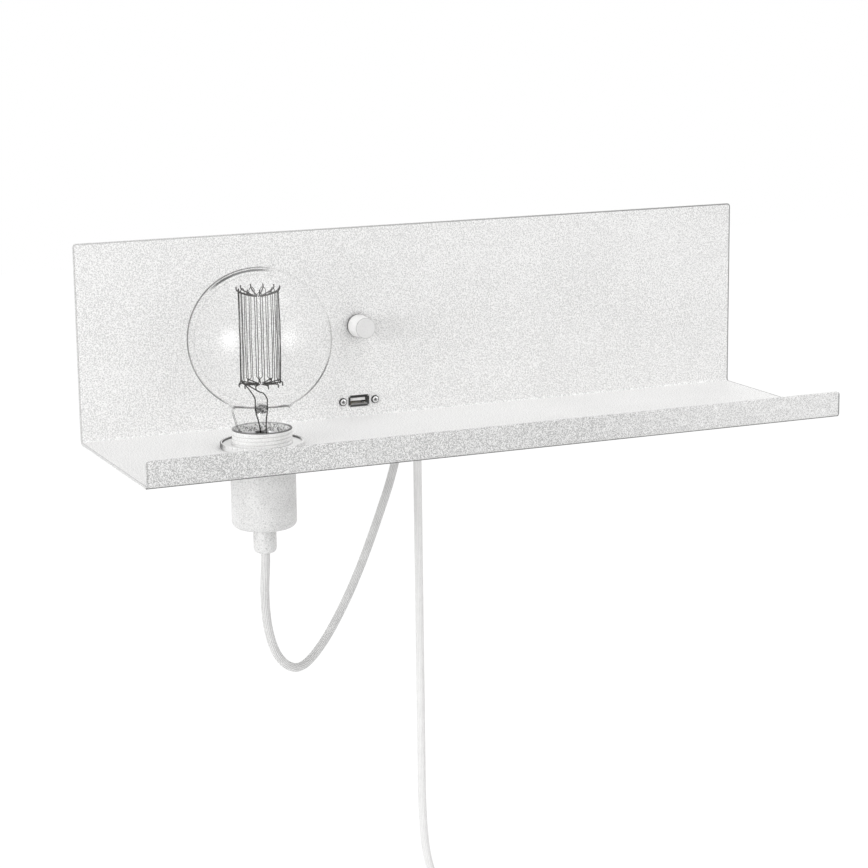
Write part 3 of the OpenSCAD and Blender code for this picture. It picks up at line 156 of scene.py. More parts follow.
def dress(piece, body, slot, finish, *stands_for):
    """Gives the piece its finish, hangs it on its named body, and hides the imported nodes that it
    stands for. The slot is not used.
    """
    piece.data.materials.clear()
    piece.data.materials.append(finish)
    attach(piece, body)
    if stands_for:
        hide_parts(*stands_for)
    print(piece.name, "has", len(piece.data.polygons), "faces")
    return piece


print("a quarter circle in 6 steps has", len(arc(0, 0, 1, 0, 90, 6)), "points")


# %% [markdown]
# Every finish is worked out by nodes, so that it has grain and wear at the right scale. Nodes could
# be placed by hand in the editor, but a formula is easier to read and to change. A Value wraps one
# output of a node, and adding or multiplying Values lays down the Math nodes. Any other node comes
# from one method, which takes its kind, its settings and what goes into its sockets.

# %% Helpers that do maths in a shader
class Value:
    """What one output of a node gives. Sums and products of Values add Math nodes."""

    def __init__(self, shading, socket):
        self.shading = shading
        self.socket = socket

    def math(self, operation, *others):
        """This value, with others if the operation takes more than one, through a Math node."""
        numbers = dict(enumerate((self, *others)))
        return self.shading.node("ShaderNodeMath", {"operation": operation}, numbers)

    def __add__(self, other):
        return self.math("ADD", other)

    def __sub__(self, other):
        return self.math("SUBTRACT", other)

    def __rsub__(self, other):
        return self.shading.node("ShaderNodeMath", {"operation": "SUBTRACT"}, {0: other, 1: self})

    def __mul__(self, other):
        return self.math("MULTIPLY", other)

    def __truediv__(self, other):
        return self.math("DIVIDE", other)

    __radd__ = __add__
    __rmul__ = __mul__

    def smooth(self, low, high):
        """0 below low, 1 above high, and a smooth step between them."""
        return self.shading.node("ShaderNodeMapRange", {"interpolation_type": "SMOOTHSTEP"},
                                 {"Value": self, "From Min": low, "From Max": high})

    def inside(self, low, high, soft):
        """1 between low and high, with smooth shoulders as wide as twice soft."""
        return self.smooth(low - soft, low + soft) * (1 - self.smooth(high - soft, high + soft))

    def output(self, key):
        """Another output of the same node, by its name or number."""
        return Value(self.shading, self.socket.node.outputs[key])


print("sums, differences, products and quotients lay down Math nodes")


# %% Helpers that lay down nodes
class Shading:
    """A tree of shader nodes, of a material or of the world."""

    def __init__(self, tree):
        self.tree = tree

    def own(self, kind):
        """The node of a kind that the tree has from the start."""
        return next(n for n in self.tree.nodes if n.type == kind)

    def feed(self, socket, value):
        """Links a Value to a socket, or sets the socket to a number, a vector or a colour."""
        if isinstance(value, Value):
            self.tree.links.new(value.socket, socket)
        elif isinstance(value, tuple) and socket.type == "RGBA":
            socket.default_value = (*value, 1.0)
        else:
            socket.default_value = value

    def node(self, kind, settings=None, values=None, output=0):
        """A node of a kind, with its settings made first and then its sockets filled."""
        made = self.tree.nodes.new(kind)
        for key, value in (settings or {}).items():
            setattr(made, key, value)
        for key, value in (values or {}).items():
            self.feed(made.inputs[key], value)
        return Value(self, made.outputs[output])

    def seen_directly(self):
        """1 for a ray that comes from the camera, or off or through glass and metal, 0 for others."""
        camera_ray = self.node("ShaderNodeLightPath", output="Is Camera Ray")
        mirrored = camera_ray.math("MAXIMUM", camera_ray.output("Is Glossy Ray"))
        return mirrored.math("MAXIMUM", camera_ray.output("Is Transmission Ray"))


print("one method makes every other node")


# %% Helpers that make finishes
class Finish(Shading):
    """A material whose Principled shader is filled in by name."""

    def __init__(self, name, **sockets):
        self.material = bpy.data.materials.new(name)
        self.material.use_nodes = True
        super().__init__(self.material.node_tree)
        self.shader = self.own("BSDF_PRINCIPLED")
        for socket, value in sockets.items():
            self.fill(socket.replace("_", " "), value)

    def fill(self, socket, value):
        """Feeds a socket of the Principled shader."""
        self.feed(self.shader.inputs[socket], value)
        return self

    def base(self, value):
        """The colour of the surface."""
        return self.fill("Base Color", value)

    def rough(self, value):
        """How matt the surface is, from 0 to 1."""
        return self.fill("Roughness", value)

    def relief(self, height, depth_mm, strength):
        """Bumps of about depth_mm, fed to the shader's normal."""
        return self.fill("Normal", self.node("ShaderNodeBump", None, {
            "Height": height, "Distance": depth_mm * MM, "Strength": strength}))

    def principled(self):
        """What the Principled shader gives, to be mixed with another shader."""
        return Value(self, self.shader.outputs[0])

    def show(self, surface):
        """Makes a mixed shader the material's surface."""
        self.feed(self.own("OUTPUT_MATERIAL").inputs["Surface"], surface)
        return self

    def place(self):
        """The point on the piece, in metres, in the model's own frame."""
        return self.node("ShaderNodeTexCoord", output="Object")

    def split(self, vector):
        """The three parts of a vector."""
        first = self.node("ShaderNodeSeparateXYZ", None, {0: vector})
        return first, first.output(1), first.output(2)

    def from_centre(self, x=0.0, y=0.0, z=0.0):
        """How far the point lies from a centre along each axis, in millimetres."""
        moved = self.node("ShaderNodeVectorMath", {"operation": "SUBTRACT"},
                          {0: self.place(), 1: (x * MM, y * MM, z * MM)})
        in_mm = self.node("ShaderNodeVectorMath", {"operation": "SCALE"}, {0: moved, "Scale": 1 / MM})
        return self.split(in_mm)

    def noise(self, size_mm, detail=2.0, stretch=None):
        """Cloudy noise from 0 to 1 whose lumps are about size_mm across."""
        where = self.place()
        if stretch:
            where = self.node("ShaderNodeVectorMath", {"operation": "MULTIPLY"}, {0: where, 1: stretch})
        return self.node("ShaderNodeTexNoise", None, {
            "Vector": where, "Scale": 1 / (size_mm * MM), "Detail": detail})

    def blend(self, share, first, second):
        """A colour that goes from first to second as share goes from 0 to 1. The Mix node's
        sockets 6 and 7 and its output 2 are the ones for colours."""
        return self.node("ShaderNodeMix", {"data_type": "RGBA"}, {0: share, 6: first, 7: second}, output=2)


print("a finish starts from the Principled shader that a new material has")


# %% Greys
def grey(level, warm=0.0):
    """A near-neutral colour: warm lowers its green a little and its blue more."""
    return (level, level * (1 - warm * 0.3), level * (1 - warm))


print("a grey of 0.9, a little warm:", tuple(round(v, 3) for v in grey(0.9, 0.01)))

# %% [markdown]
# The sheet wears a white powder coat with a fine sand texture: pale grains less than a millimetre
# wide and a few darker ones. On the lip the grains are finer, and the lip is darker with painted
# shade, most of all towards its left end. A thin grey line of painted edge shade runs along the
# plate's outline, darker towards the right and faint on the cut faces, and a dark line of painted
# shade runs under the lip's fold. The lines could be separate strips, but a strip would stand off
# the metal. So they are part of the finish, which reads the point's place on the sheet and stays
# fixed to it.

# %% Painted edge shade of the sheet
HALF_W, TOP_Z, LIP_FRONT, FOLD_LOW, CORNER = 250.0, 40.0, -176.5, -95.0, 2.5


def painted_edge_shade(f):
    """Where shade is painted on the sheet: a grey line along the plate's rounded outline, a little on
    the cut faces, and a dark line under the lip's fold. The distance to the rounded outline of the
    plate is the corner radius less the distance from the corner's centre, and the fold is the lowest
    millimetre of the lip."""
    x, y, z = f.from_centre()
    across = (x.math("ABSOLUTE") - (HALF_W - CORNER)).math("MAXIMUM", 0.0)
    above = (z - (TOP_Z - CORNER)).math("MAXIMUM", 0.0)
    inset = CORNER - (across * across + above * above).math("SQRT")
    to_right = x.smooth(-HALF_W, HALF_W)
    # Painted edge shade, darker towards the right; the cut face and the fold are painted dark too.
    outline = inset.inside(0.10, 0.95, 0.10) * (0.45 + to_right * 0.50)
    cut_face = (1 - inset.smooth(0.02, 0.12)) * 0.25
    in_front = 1 - y.smooth(LIP_FRONT + 2.9, LIP_FRONT + 3.5)
    fold = in_front * (1 - z.smooth(FOLD_LOW + 0.7, FOLD_LOW + 1.2)) * 0.95
    on_lip = 1 - y.smooth(LIP_FRONT + 1.8, LIP_FRONT + 2.4)
    return outline.math("MAXIMUM", cut_face), fold, on_lip, to_right


print("the plate's outline:", 2 * HALF_W, "mm wide, corners of", CORNER, "mm")


# %% Powder coat
def powder_coat(light=0.94, dark=0.63, shaded_lip_light=0.86, shaded_lip_dark=0.40):
    """Sand between a dark and a light grey, both lower on the lip as painted shade, with specks and
    with lines of painted edge shade.
    """
    f = Finish("powder_coat", IOR=1.5)
    edge, fold, on_lip, to_right = painted_edge_shade(f)
    grain = f.noise(0.85, detail=1.0) * (1 - on_lip) + f.noise(0.57, detail=1.0) * on_lip
    speck = f.noise(1.1, detail=1.0).smooth(0.63, 0.72)
    patch = f.noise(60)
    tone = (grain * 0.92 + patch * 0.08).smooth(0.36, 0.62)
    # Painted shade: the lip is darker than the plate, most of all towards its left end.
    lip = on_lip * (1 - to_right.smooth(0.55, 1.0) * 0.60)
    pale = f.blend(lip, grey(light, 0.008), grey(shaded_lip_light, 0.008))
    deep = f.blend(lip, grey(dark, 0.008), grey(shaded_lip_dark, 0.008))
    sand = f.blend(speck * 0.42, f.blend(tone, deep, pale), grey(0.34))
    # Painted shade: a grey line along the outline and a dark line under the fold.
    lined = f.blend(edge * (0.55 + grain * 0.6).math("MINIMUM", 1.0), sand, grey(0.16))
    f.base(f.blend(fold, lined, grey(0.07)))
    f.rough(0.76 - grain * 0.14)
    return f.relief(grain, 0.05, 0.6).material


coat = powder_coat()
print(coat.name, "has", len(coat.node_tree.nodes), "nodes")

# %% [markdown]
# The lampholder, its ring and the cord grip are moulded in white plastic whose mould was lightly
# blasted: an even satin with a very fine grain. The knob is the same white with a soft polish. One
# flat white would look like paint, so a fine noise and a slow cloud move the colour a little, and
# the fine one moves the gloss and the bumps too. Dark edges and lines, mostly painted shade, are
# marks: each is a function that says where its piece is painted dark, by the distance from the
# piece's own axis.

# %% Moulded plastics
def moulded(name, light, dark, grain_mm, depth, shine, specks=0.0, mark=None):
    """A moulded plastic. A mark is a function of the finish that says where the piece is painted dark,
    mostly as painted shade.
    """
    f = Finish(name, IOR=1.46)
    grain = f.noise(grain_mm)
    cloud = f.noise(14)
    tone = f.blend((grain * 0.7 + cloud * 0.3).smooth(0.34, 0.64), grey(dark, 0.008), grey(light, 0.008))
    if specks:
        tone = f.blend(f.noise(1.0, detail=1.0).smooth(0.60, 0.68) * specks, tone, grey(0.30))
    if mark:
        # The mark's dark grey is mostly painted shade.
        tone = f.blend(mark(f), tone, grey(0.07))
    f.base(tone)
    f.rough(shine + 0.12 - grain * 0.16)
    return f.relief(grain, depth, 0.6).material


holder_white = moulded("holder_plastic", 0.80, 0.60, grain_mm=0.8, depth=0.03, shine=0.46, specks=0.45)
plug_white = moulded("plug_plastic", 0.86, 0.80, grain_mm=0.5, depth=0.02, shine=0.38)
gland_white = moulded("gland_plastic", 0.84, 0.76, grain_mm=0.6, depth=0.03, shine=0.5)
# Painted shade: the holder's core is white ceramic, but it gets a darker mottled grey for the shade in the
# holder's mouth.
shaded_ceramic = moulded("core_ceramic", 0.66, 0.44, grain_mm=1.2, depth=0.03, shine=0.38)
tongue_white = moulded("tongue_plastic", 0.95, 0.90, grain_mm=0.6, depth=0.01, shine=0.3)
box_grey = moulded("box_plastic", 0.50, 0.44, grain_mm=0.6, depth=0.03, shine=0.5)
tie_black = moulded("tie_plastic", 0.035, 0.02, grain_mm=0.5, depth=0.02, shine=0.42)
black_glass = moulded("black_glass", 0.03, 0.015, grain_mm=1.0, depth=0.01, shine=0.12)
print(holder_white.name, "has", len(holder_white.node_tree.nodes), "nodes")

# %% Painted shade and lines on the collar, the ring and the knob
LAMP = (-145.0, -92.0)
CONTROL_X, KNOB_Z = -49.5, -29.0
COLLAR_TOP, FLANGE_TOP, KNOB_FRONT = -81.0, -91.3, -42.0


def collar_painted_shade(f):
    """Painted shade, dark on the collar's rim, most of all in front, and mottled inside its bore."""
    x, y, z = f.from_centre(*LAMP, COLLAR_TOP)
    r = (x * x + y * y).math("SQRT")
    bore = (1 - r.smooth(18.5, 18.8)) * f.noise(1.3).smooth(0.50, 0.60) * 0.75
    return (z.smooth(-0.8, -0.55) * (0.92 - y.smooth(-4.0, 10.0) * 0.42)).math("MAXIMUM", bore)


def ring_painted_shade(f):
    """Painted shade, dark on both edges of the ring's notched rim, above its flange, most of all at
    the back.
    """
    x, y, z = f.from_centre(*LAMP, FLANGE_TOP)
    r = (x * x + y * y).math("SQRT")
    edges = r.smooth(27.2, 27.45).math("MAXIMUM", r.inside(26.2, 26.7, 0.1) * z.smooth(-0.1, 0.1))
    return edges * (0.16 + y.smooth(-8.0, 3.0) * 0.76)


def knob_shadow_and_lines(f):
    """A painted shadow in a dark line round the knob's foot, where it stands off the plate, a fine dark
    line round its face, and a faint grey mottle over the face.
    """
    x, y, z = f.from_centre(CONTROL_X, KNOB_FRONT, KNOB_Z)
    r = (x * x + z * z).math("SQRT")
    foot = y.smooth(13.0, 13.3)
    front = 1 - y.smooth(0.3, 0.5)
    face = r.inside(6.9, 7.25, 0.1) * 0.40 + (0.05 + f.noise(0.9).smooth(0.45, 0.65) * 0.12)
    return foot.math("MAXIMUM", face * front)


collar_white = moulded("collar_plastic", 0.88, 0.76, grain_mm=0.8, depth=0.03, shine=0.46, specks=0.30,
                       mark=collar_painted_shade)
ring_white = moulded("ring_plastic", 0.88, 0.82, grain_mm=0.9, depth=0.02, shine=0.44, mark=ring_painted_shade)
knob_white = moulded("knob_plastic", 0.88, 0.80, grain_mm=0.9, depth=0.012, shine=0.30, mark=knob_shadow_and_lines)
print(collar_white.name, "has", len(collar_white.node_tree.nodes), "nodes")

# %% [markdown]
# Metals differ mostly in colour and in how their surface scatters: plated steel has a cool grey
# with faint drawn streaks, nickel is brighter, brass is yellow. Streaks are noise that is
# stretched along one axis, which needs no picture of brushed metal. The socket's folded lip, its
# walls inside and the screws' heads are painted dark as painted shade in the same way as the
# plastics, by marks, and the lip's corners are left light as a painted highlight.

# %% Metals
def metal(name, light, dark, shine, streak_mm=1.2, stretch=(1, 1, 0.06), mark=None, bare=None):
    """A metal with streaks. A mark says where shade is painted dark on it, and bare how metallic it is."""
    f = Finish(name, Metallic=1.0)
    streak = f.noise(streak_mm, detail=3.0, stretch=stretch)
    cloud = f.noise(9)
    tone = f.blend((streak * 0.5 + cloud * 0.5).smooth(0.3, 0.7), dark, light)
    if mark:
        # The mark's dark grey is painted shade.
        tone = f.blend(mark(f), tone, grey(0.03))
    if bare:
        f.fill("Metallic", bare(f))
    f.base(tone)
    f.rough(shine - 0.06 + cloud * 0.12)
    return f.relief(streak, 0.01, 0.4).material


zinc = metal("zinc_plated_steel", (0.66, 0.67, 0.69), (0.52, 0.53, 0.55), 0.38)
nickel = metal("nickel_plated_metal", (0.80, 0.80, 0.80), (0.62, 0.62, 0.63), 0.20, stretch=(1, 0.1, 1))
cap_metal = metal("cap_metal", (0.93, 0.93, 0.93), (0.78, 0.78, 0.79), 0.42, stretch=(1, 1, 0.3))
brass = metal("brass", (0.80, 0.62, 0.30), (0.66, 0.48, 0.20), 0.28)
gilt = metal("gilt_contacts", (0.88, 0.68, 0.30), (0.78, 0.58, 0.24), 0.22)
wire_metal = metal("dark_wire", (0.070, 0.066, 0.062), (0.018, 0.017, 0.016), 0.62, streak_mm=0.5)
print(zinc.name, "has", len(zinc.node_tree.nodes), "nodes")

# %% Painted shade on the socket and its screws
USB_Z, SCREW_OUT = -82.5, 12.1
SHELL_FRONT, HEAD_FRONT = -26.9, -28.4
SHELL_HALF_W, SHELL_HALF_H = 7.75, 4.05


def screw_painted_shade(f):
    """Painted shade, dark at the rim of each screw's head and round its cross: both screws lie as
    far from the socket's middle, so one distance serves for the two."""
    x, y, z = f.from_centre(CONTROL_X, HEAD_FRONT, USB_Z)
    beside = x.math("ABSOLUTE") - SCREW_OUT
    r = (beside * beside + z * z).math("SQRT")
    return r.smooth(2.05, 2.25).math("MAXIMUM", (1 - r.smooth(0.9, 1.2)) * 0.8)


def shell_painted_shade(f):
    """Painted shade, dark on the socket's lip but for its corners, which are left light as a painted
    highlight, and on the walls inside but for the lowest."""
    x, y, z = f.from_centre(CONTROL_X, SHELL_FRONT, USB_Z)
    out_x, out_z = x.math("ABSOLUTE"), z.math("ABSOLUTE")
    inset = (SHELL_HALF_W - out_x).math("MINIMUM", SHELL_HALF_H - out_z)
    corner = (out_x - (SHELL_HALF_W - 1.2)).math("MINIMUM", out_z - (SHELL_HALF_H - 1.2))
    lip = (1 - corner.smooth(0.0, 0.2) * inset.smooth(0.2, 0.4) * 0.8) * (1 - y.smooth(0.45, 0.6))
    walls = y.smooth(0.12, 0.35) * z.smooth(-2.3, -2.0) * inset.smooth(0.9, 1.1)
    return lip.math("MAXIMUM", walls) * 0.96


def shell_metal(f):
    """The floor inside catches light from all round the mouth, so it is matt there."""
    x, y, z = f.from_centre(CONTROL_X, SHELL_FRONT, USB_Z)
    return 1 - y.smooth(0.3, 0.6) * 0.9


shell_nickel = metal("socket_nickel", (0.90, 0.90, 0.90), (0.80, 0.80, 0.80), 0.30, stretch=(1, 0.1, 1),
                     mark=shell_painted_shade, bare=shell_metal)
screw_metal = metal("screw_nickel", (0.90, 0.90, 0.90), (0.74, 0.74, 0.74), 0.34, mark=screw_painted_shade)
print(shell_nickel.name, "has", len(shell_nickel.node_tree.nodes), "nodes")

# %% [markdown]
# Clear glass shows mostly at its rims, where the eye looks along the wall. Looking straight
# through, a thin bulb all but disappears. A glass shader would bend every ray twice and be slow to
# clear of noise, so this is a mix of plain see-through and of a soft mirror, whose share follows
# the angle of the surface. At the rim and along a few lines the mirror is dark grey, a painted
# dark reflection, which is wider and darker on one shoulder, at the crown, low on the right and
# where the ball meets its neck.

# %% A shader for thin glass
GLOBE_Z, GLOBE_R = -22.0, 47.5


def see_through(name, mirror_share, base, roughness):
    """A shader that lets light straight through, mixed with a mirror by a share from 0 to 1. The
    share and the mirror's colour are worked out by functions of the finish."""
    f = Finish(name, Metallic=1.0, Roughness=roughness)
    clear = f.node("ShaderNodeBsdfTransparent")
    f.show(f.node("ShaderNodeMixShader", None, {0: mirror_share(f), 1: clear, 2: f.principled()}))
    return f.base(base(f)).material


def facing(f):
    """0 where the surface faces the eye and 1 where it is seen from its side."""
    return f.node("ShaderNodeLayerWeight", None, {"Blend": 0.5}, output="Facing")


def toward(f, direction, low, high):
    """How far the glass lies out from the globe's centre in a direction, as a step from 0 to 1:
    the point's place along the direction, over the globe's radius."""
    ux, uy, uz = (np.array(direction) / np.linalg.norm(direction)).tolist()
    x, y, z = f.from_centre(*LAMP, GLOBE_Z)
    return ((x * ux + y * uy + z * uz) / GLOBE_R).smooth(low, high)


print("globe", 2 * GLOBE_R, "mm across")

# %% Glass of the globe
# Directions, fixed to the globe, in which the painted dark reflection at the rim is strongest.
LEFT_SIDE, CROWN, FRONT_CROWN = (-0.92, 0.35, 0.16), (-0.40, 0.29, 0.87), (-0.22, 0.24, 0.95)
LOW_RIGHT, RIGHT_SIDE, HIGH_RIGHT = (0.75, -0.36, -0.56), (0.93, -0.35, -0.11), (0.72, -0.14, 0.68)
THROAT_LEFT, THROAT_RIGHT = (-0.69, 0.13, -0.71), (0.57, -0.33, -0.75)


def globe_share(f):
    """The mirror's share: a thin rim of painted dark reflection that is darkest on the left, at the
    crown and low on the right, a second line inside it at the crown, a faint ring, a dark line round
    the throat and down the neck's left side, and a light gloss."""
    x, y, z = f.from_centre(*LAMP, GLOBE_Z)
    outside = (x * x + y * y + z * z).math("SQRT").smooth(46.9, 47.3)
    side = facing(f)
    places = (toward(f, LEFT_SIDE, 0.60, 0.97) * 0.60 + toward(f, CROWN, 0.72, 0.95) * 0.65
              + toward(f, LOW_RIGHT, 0.93, 0.99) * 0.70 + toward(f, RIGHT_SIDE, 0.85, 0.97) * 0.10
              + toward(f, THROAT_LEFT, 0.93, 0.985) * 0.60 + toward(f, THROAT_RIGHT, 0.93, 0.985) * 0.25)
    rim = side.smooth(0.77, 0.87) * (0.13 - toward(f, HIGH_RIGHT, 0.75, 0.95) * 0.10 + places)
    second = side.inside(0.65, 0.755, 0.012) * toward(f, FRONT_CROWN, 0.83, 0.95) * 0.85
    ring = side.inside(0.545, 0.570, 0.012) * toward(f, LEFT_SIDE, -0.2, 0.4) * 0.055
    front = ((x * -0.33 + y * -0.94) / 22.0).smooth(0.25, 0.60)
    narrowest = (1 - z.smooth(-41.5, -40.0)) * z.smooth(-46.5, -45.0)
    throat = side.inside(0.66, 0.80, 0.03) * narrowest * front * 0.80
    neck = side.smooth(0.74, 0.86) * (1 - z.smooth(-48.0, -46.0)) * (x / -19.0).smooth(0.3, 0.7) * 0.60
    gloss = (0.048 - side.smooth(0.25, 0.50) * 0.024) * (1 - y.smooth(0.0, 20.0) * 0.45)
    ball = ((rim + second + ring) * z.smooth(-46.0, -43.0) + gloss * z.smooth(-46.0, -40.0)) * outside
    return (ball + throat + neck + 0.004).math("MINIMUM", 1.0)


def globe_base(f):
    """The mirror's colour: dark grey at the rim and along the lines, a painted dark reflection, and
    white where the glass only shines.
    """
    side = facing(f)
    x, y, z = f.from_centre(*LAMP, GLOBE_Z)
    second = side.inside(0.65, 0.755, 0.02) * toward(f, FRONT_CROWN, 0.7, 0.9)
    line = side.smooth(0.70, 0.74).math("MAXIMUM", second)
    line = line.math("MAXIMUM", side.inside(0.545, 0.570, 0.02))
    line = line.math("MAXIMUM", 1 - z.smooth(-42.0, -40.0))
    return f.blend(line, grey(0.97), grey(0.03))


globe_glass = see_through("globe_glass", globe_share, globe_base, 0.31)
print(globe_glass.name, "has", len(globe_glass.node_tree.nodes), "nodes")

# %% Glass of the mount
THROAT_Z = -64.0


def pinched(z):
    """1 over the stretch where the glass is pinched round the wires."""
    return z.inside(-7.2, -1.2, 0.7)


def stem_share(f):
    """Painted dark reflection: rims above the foot, and a mottled dark stretch where the glass is pinched."""
    x, y, z = f.from_centre(*LAMP, THROAT_Z)
    pinch = pinched(z) * f.noise(1.6).smooth(0.36, 0.56) * 0.6
    return (facing(f).smooth(0.70, 0.95) * z.smooth(-19.0, -15.0) * 0.12 + pinch + 0.02).math("MINIMUM", 1.0)


def stem_base(f):
    """Dark where the glass is seen from its side and where it is pinched, as a painted dark reflection,
    and white elsewhere.
    """
    x, y, z = f.from_centre(*LAMP, THROAT_Z)
    return f.blend(facing(f).smooth(0.6, 0.8).math("MAXIMUM", pinched(z)), grey(0.95), grey(0.09))


stem_glass = see_through("stem_glass", stem_share, stem_base, 0.10)
print(stem_glass.name, "has", len(stem_glass.node_tree.nodes), "nodes")

# %% [markdown]
# The circuit boards carry a green lacquer, and the wires in the box wear brown sheaths. Both are
# even coats over something rough, so one noise that moves the colour a little and a slower one that
# moves the gloss are enough.

# %% Board and sheath
def lacquer(name, light, dark, grain_mm, shine):
    """A smooth coat whose colour goes between two by a noise."""
    f = Finish(name, IOR=1.5)
    f.base(f.blend(f.noise(grain_mm), dark, light))
    return f.rough(shine + f.noise(6) * 0.15).material


board_green = lacquer("circuit_board", (0.06, 0.20, 0.10), (0.03, 0.12, 0.06), 1.5, 0.25)
sheath_brown = lacquer("wire_sheath", (0.16, 0.10, 0.07), (0.11, 0.065, 0.045), 0.8, 0.35)
print(board_green.name, "has", len(board_green.node_tree.nodes), "nodes")

# %% [markdown]
# ## Cords
# Both cords are six-millimetre textile cable. Blender could drape them by simulation, but the
# solids already lie where the real cords lie, so the routes repeat the points that the solids
# follow. The lamp cord hangs in one loop from behind the plate to the foot of the lampholder. The
# mains cord goes down the wall, and its spare length is wound into a coil of six turns.

# %% Routes of the cords, in millimetres
CORD_R = 3.0
lamp_route = np.array([
    (-15, -14, -114), (-15, -14, -120), (-18.5, -16.1, -132), (-25, -20, -147),
    (-32.5, -24.5, -161), (-41, -29.6, -176), (-50, -35, -191), (-60, -41, -206),
    (-71, -47.6, -220.5), (-83, -54.8, -234), (-95, -62, -245), (-107, -69.2, -252.5),
    (-117, -75.2, -254.5), (-126, -80.6, -251), (-134, -85.4, -243.5), (-140, -89, -233),
    (-144, -91.4, -220), (-146, -92.6, -206), (-146.4, -92.8, -192), (-145.6, -92.4, -180),
    (-145, -92, -172), (-145, -92, -166)])
mains_route = np.array([
    (0, -14, -114), (0, -14, -120), (0, -14, -136), (0, -14, -152), (0, -14, -168), (0, -14, -184),
    (0, -14, -200), (0, -14, -218), (0, -14, -236), (0, -14, -254), (0, -14, -272), (0, -14, -290),
    (0, -14, -308), (0, -14, -326), (0, -14, -344), (0, -14, -362), (0, -14, -380),
    (0.3, -14, -396), (1, -14, -412), (2.5, -14, -428), (5.5, -14, -443), (10, -14, -457),
    (16, -14, -470), (23, -14, -483), (30.5, -14, -496), (38, -14, -508), (43, -14, -518.5),
    (45.5, -14, -528), (45.5, -14, -534)])
print("routes of", len(lamp_route), "and", len(mains_route), "points")

# %% Coil of the spare length
COIL_X, COIL_Z = 0.0, -540.0
COIL_INNER, COIL_STEP, COIL_TURNS, COIL_TAIL = 26.0, 6.5, 3, 14.0
COIL_FRONT, COIL_BACK = -14.0, -7.5


def coil_route(steps_per_turn=96):
    """Three turns that spiral in, a climb of one layer over half a turn, and three turns that
    spiral out: the radius is the inner radius plus one step for each turn away from the middle."""
    t = np.linspace(-COIL_TURNS, COIL_TURNS, 2 * COIL_TURNS * steps_per_turn + 1)
    r = COIL_INNER + COIL_STEP * np.abs(t)
    rise = np.clip(2 * t + 0.5, 0, 1)
    rise = rise * rise * (3 - 2 * rise)
    a = 2 * np.pi * t
    y = COIL_FRONT + (COIL_BACK - COIL_FRONT) * rise
    return np.stack([COIL_X + r * np.cos(a), y, COIL_Z - r * np.sin(a)], -1)


coil = coil_route()
print("coil", round(2 * (COIL_INNER + COIL_STEP * COIL_TURNS)), "mm across the middle of its outer turns")

# %% [markdown]
# A curve with a bevel would draw a cord in a few lines, but it gives no control over the map that
# the braid needs. So a smooth line is laid through the points of a route, and rings of points are
# carried along it. Each ring is turned by one fixed side direction, which is never in line with
# the cord, so the tube doesn't twist.

# %% A smooth line through points
def through(points, step_mm=1.6):
    """A smooth line through points: each span is a cubic whose ends take the direction from the
    point before to the point after, and the line is cut into steps of equal length."""
    p = np.asarray(points, float)
    before = np.vstack([2 * p[0] - p[1], p[:-1]])
    after = np.vstack([p[1:], 2 * p[-1] - p[-2]])
    slope = (after - before) / 2
    u = np.linspace(0, 1, 24, endpoint=False)[None, :, None]
    a, b, m, n = p[:-1, None], p[1:, None], slope[:-1, None], slope[1:, None]
    line = ((2 * u**3 - 3 * u**2 + 1) * a + (u**3 - 2 * u**2 + u) * m
            + (3 * u**2 - 2 * u**3) * b + (u**3 - u**2) * n).reshape(-1, 3)
    line = np.vstack([line, p[-1]])
    run = np.concatenate([[0], np.cumsum(np.linalg.norm(np.diff(line, axis=0), axis=1))])
    at = np.linspace(0, run[-1], max(2, int(round(run[-1] / step_mm)) + 1))
    return np.stack([np.interp(at, run, line[:, k]) for k in range(3)], -1), run[-1]


lamp_line, lamp_length = through(lamp_route)
print("the lamp cord's line has", len(lamp_line), "points over", round(lamp_length), "mm")


# %% Tubes
def tube_parts(path, radius, side, sides):
    """A round tube along a path, closed by flat ends. Every ring is laid out by the side
    direction and by what is square to it and to the path; side may change from point to point.
    On the tube's map, u is the run along the path in metres and v is the share of a turn."""
    path = np.asarray(path, float)
    t = np.gradient(path, axis=0)
    t /= np.linalg.norm(t, axis=1, keepdims=True)
    n = np.cross(t, np.broadcast_to(np.asarray(side, float), path.shape))
    n /= np.linalg.norm(n, axis=1, keepdims=True)
    b = np.cross(t, n)
    a = np.linspace(0, 2 * np.pi, sides, endpoint=False)[None, :, None]
    rings = path[:, None] + radius * (np.cos(a) * n[:, None] + np.sin(a) * b[:, None])
    ends = np.broadcast_to(path[[0, -1], None], (2, sides, 3))
    points = np.concatenate([ends[:1], rings, ends[1:]])
    faces = grid_faces(len(path) + 2, sides)
    run = np.concatenate([[0], np.cumsum(np.linalg.norm(np.diff(path, axis=0), axis=1))])
    run = np.concatenate([run[:1], run, run[-1:]])
    i, j = np.meshgrid(np.arange(len(path) + 1), np.arange(sides), indexing="ij")
    corners = [(i, j), (i, j + 1), (i + 1, j + 1), (i + 1, j)]
    uv = np.stack([np.stack([run[row] * MM, column / sides], -1) for row, column in corners], 2)
    return points.reshape(-1, 3), faces, uv.reshape(-1, 2)


def tube_piece(name, path, radius, side, sides):
    """A tube along a path in millimetres as a piece with its map."""
    points, faces, uv = tube_parts(path, radius, side, sides)
    return mesh_piece(name, points * MM, faces, uv=uv)


def joined(parts):
    """Several (points, faces) in one pair of arrays."""
    counts = np.cumsum([0] + [len(p) for p, _ in parts[:-1]])
    return (np.concatenate([p for p, _ in parts]),
            np.concatenate([f + c for (_, f), c in zip(parts, counts)]))


print("a tube along it has", len(tube_parts(lamp_line, CORD_R, (0.0, 1.0, 0.0), 28)[0]), "points")

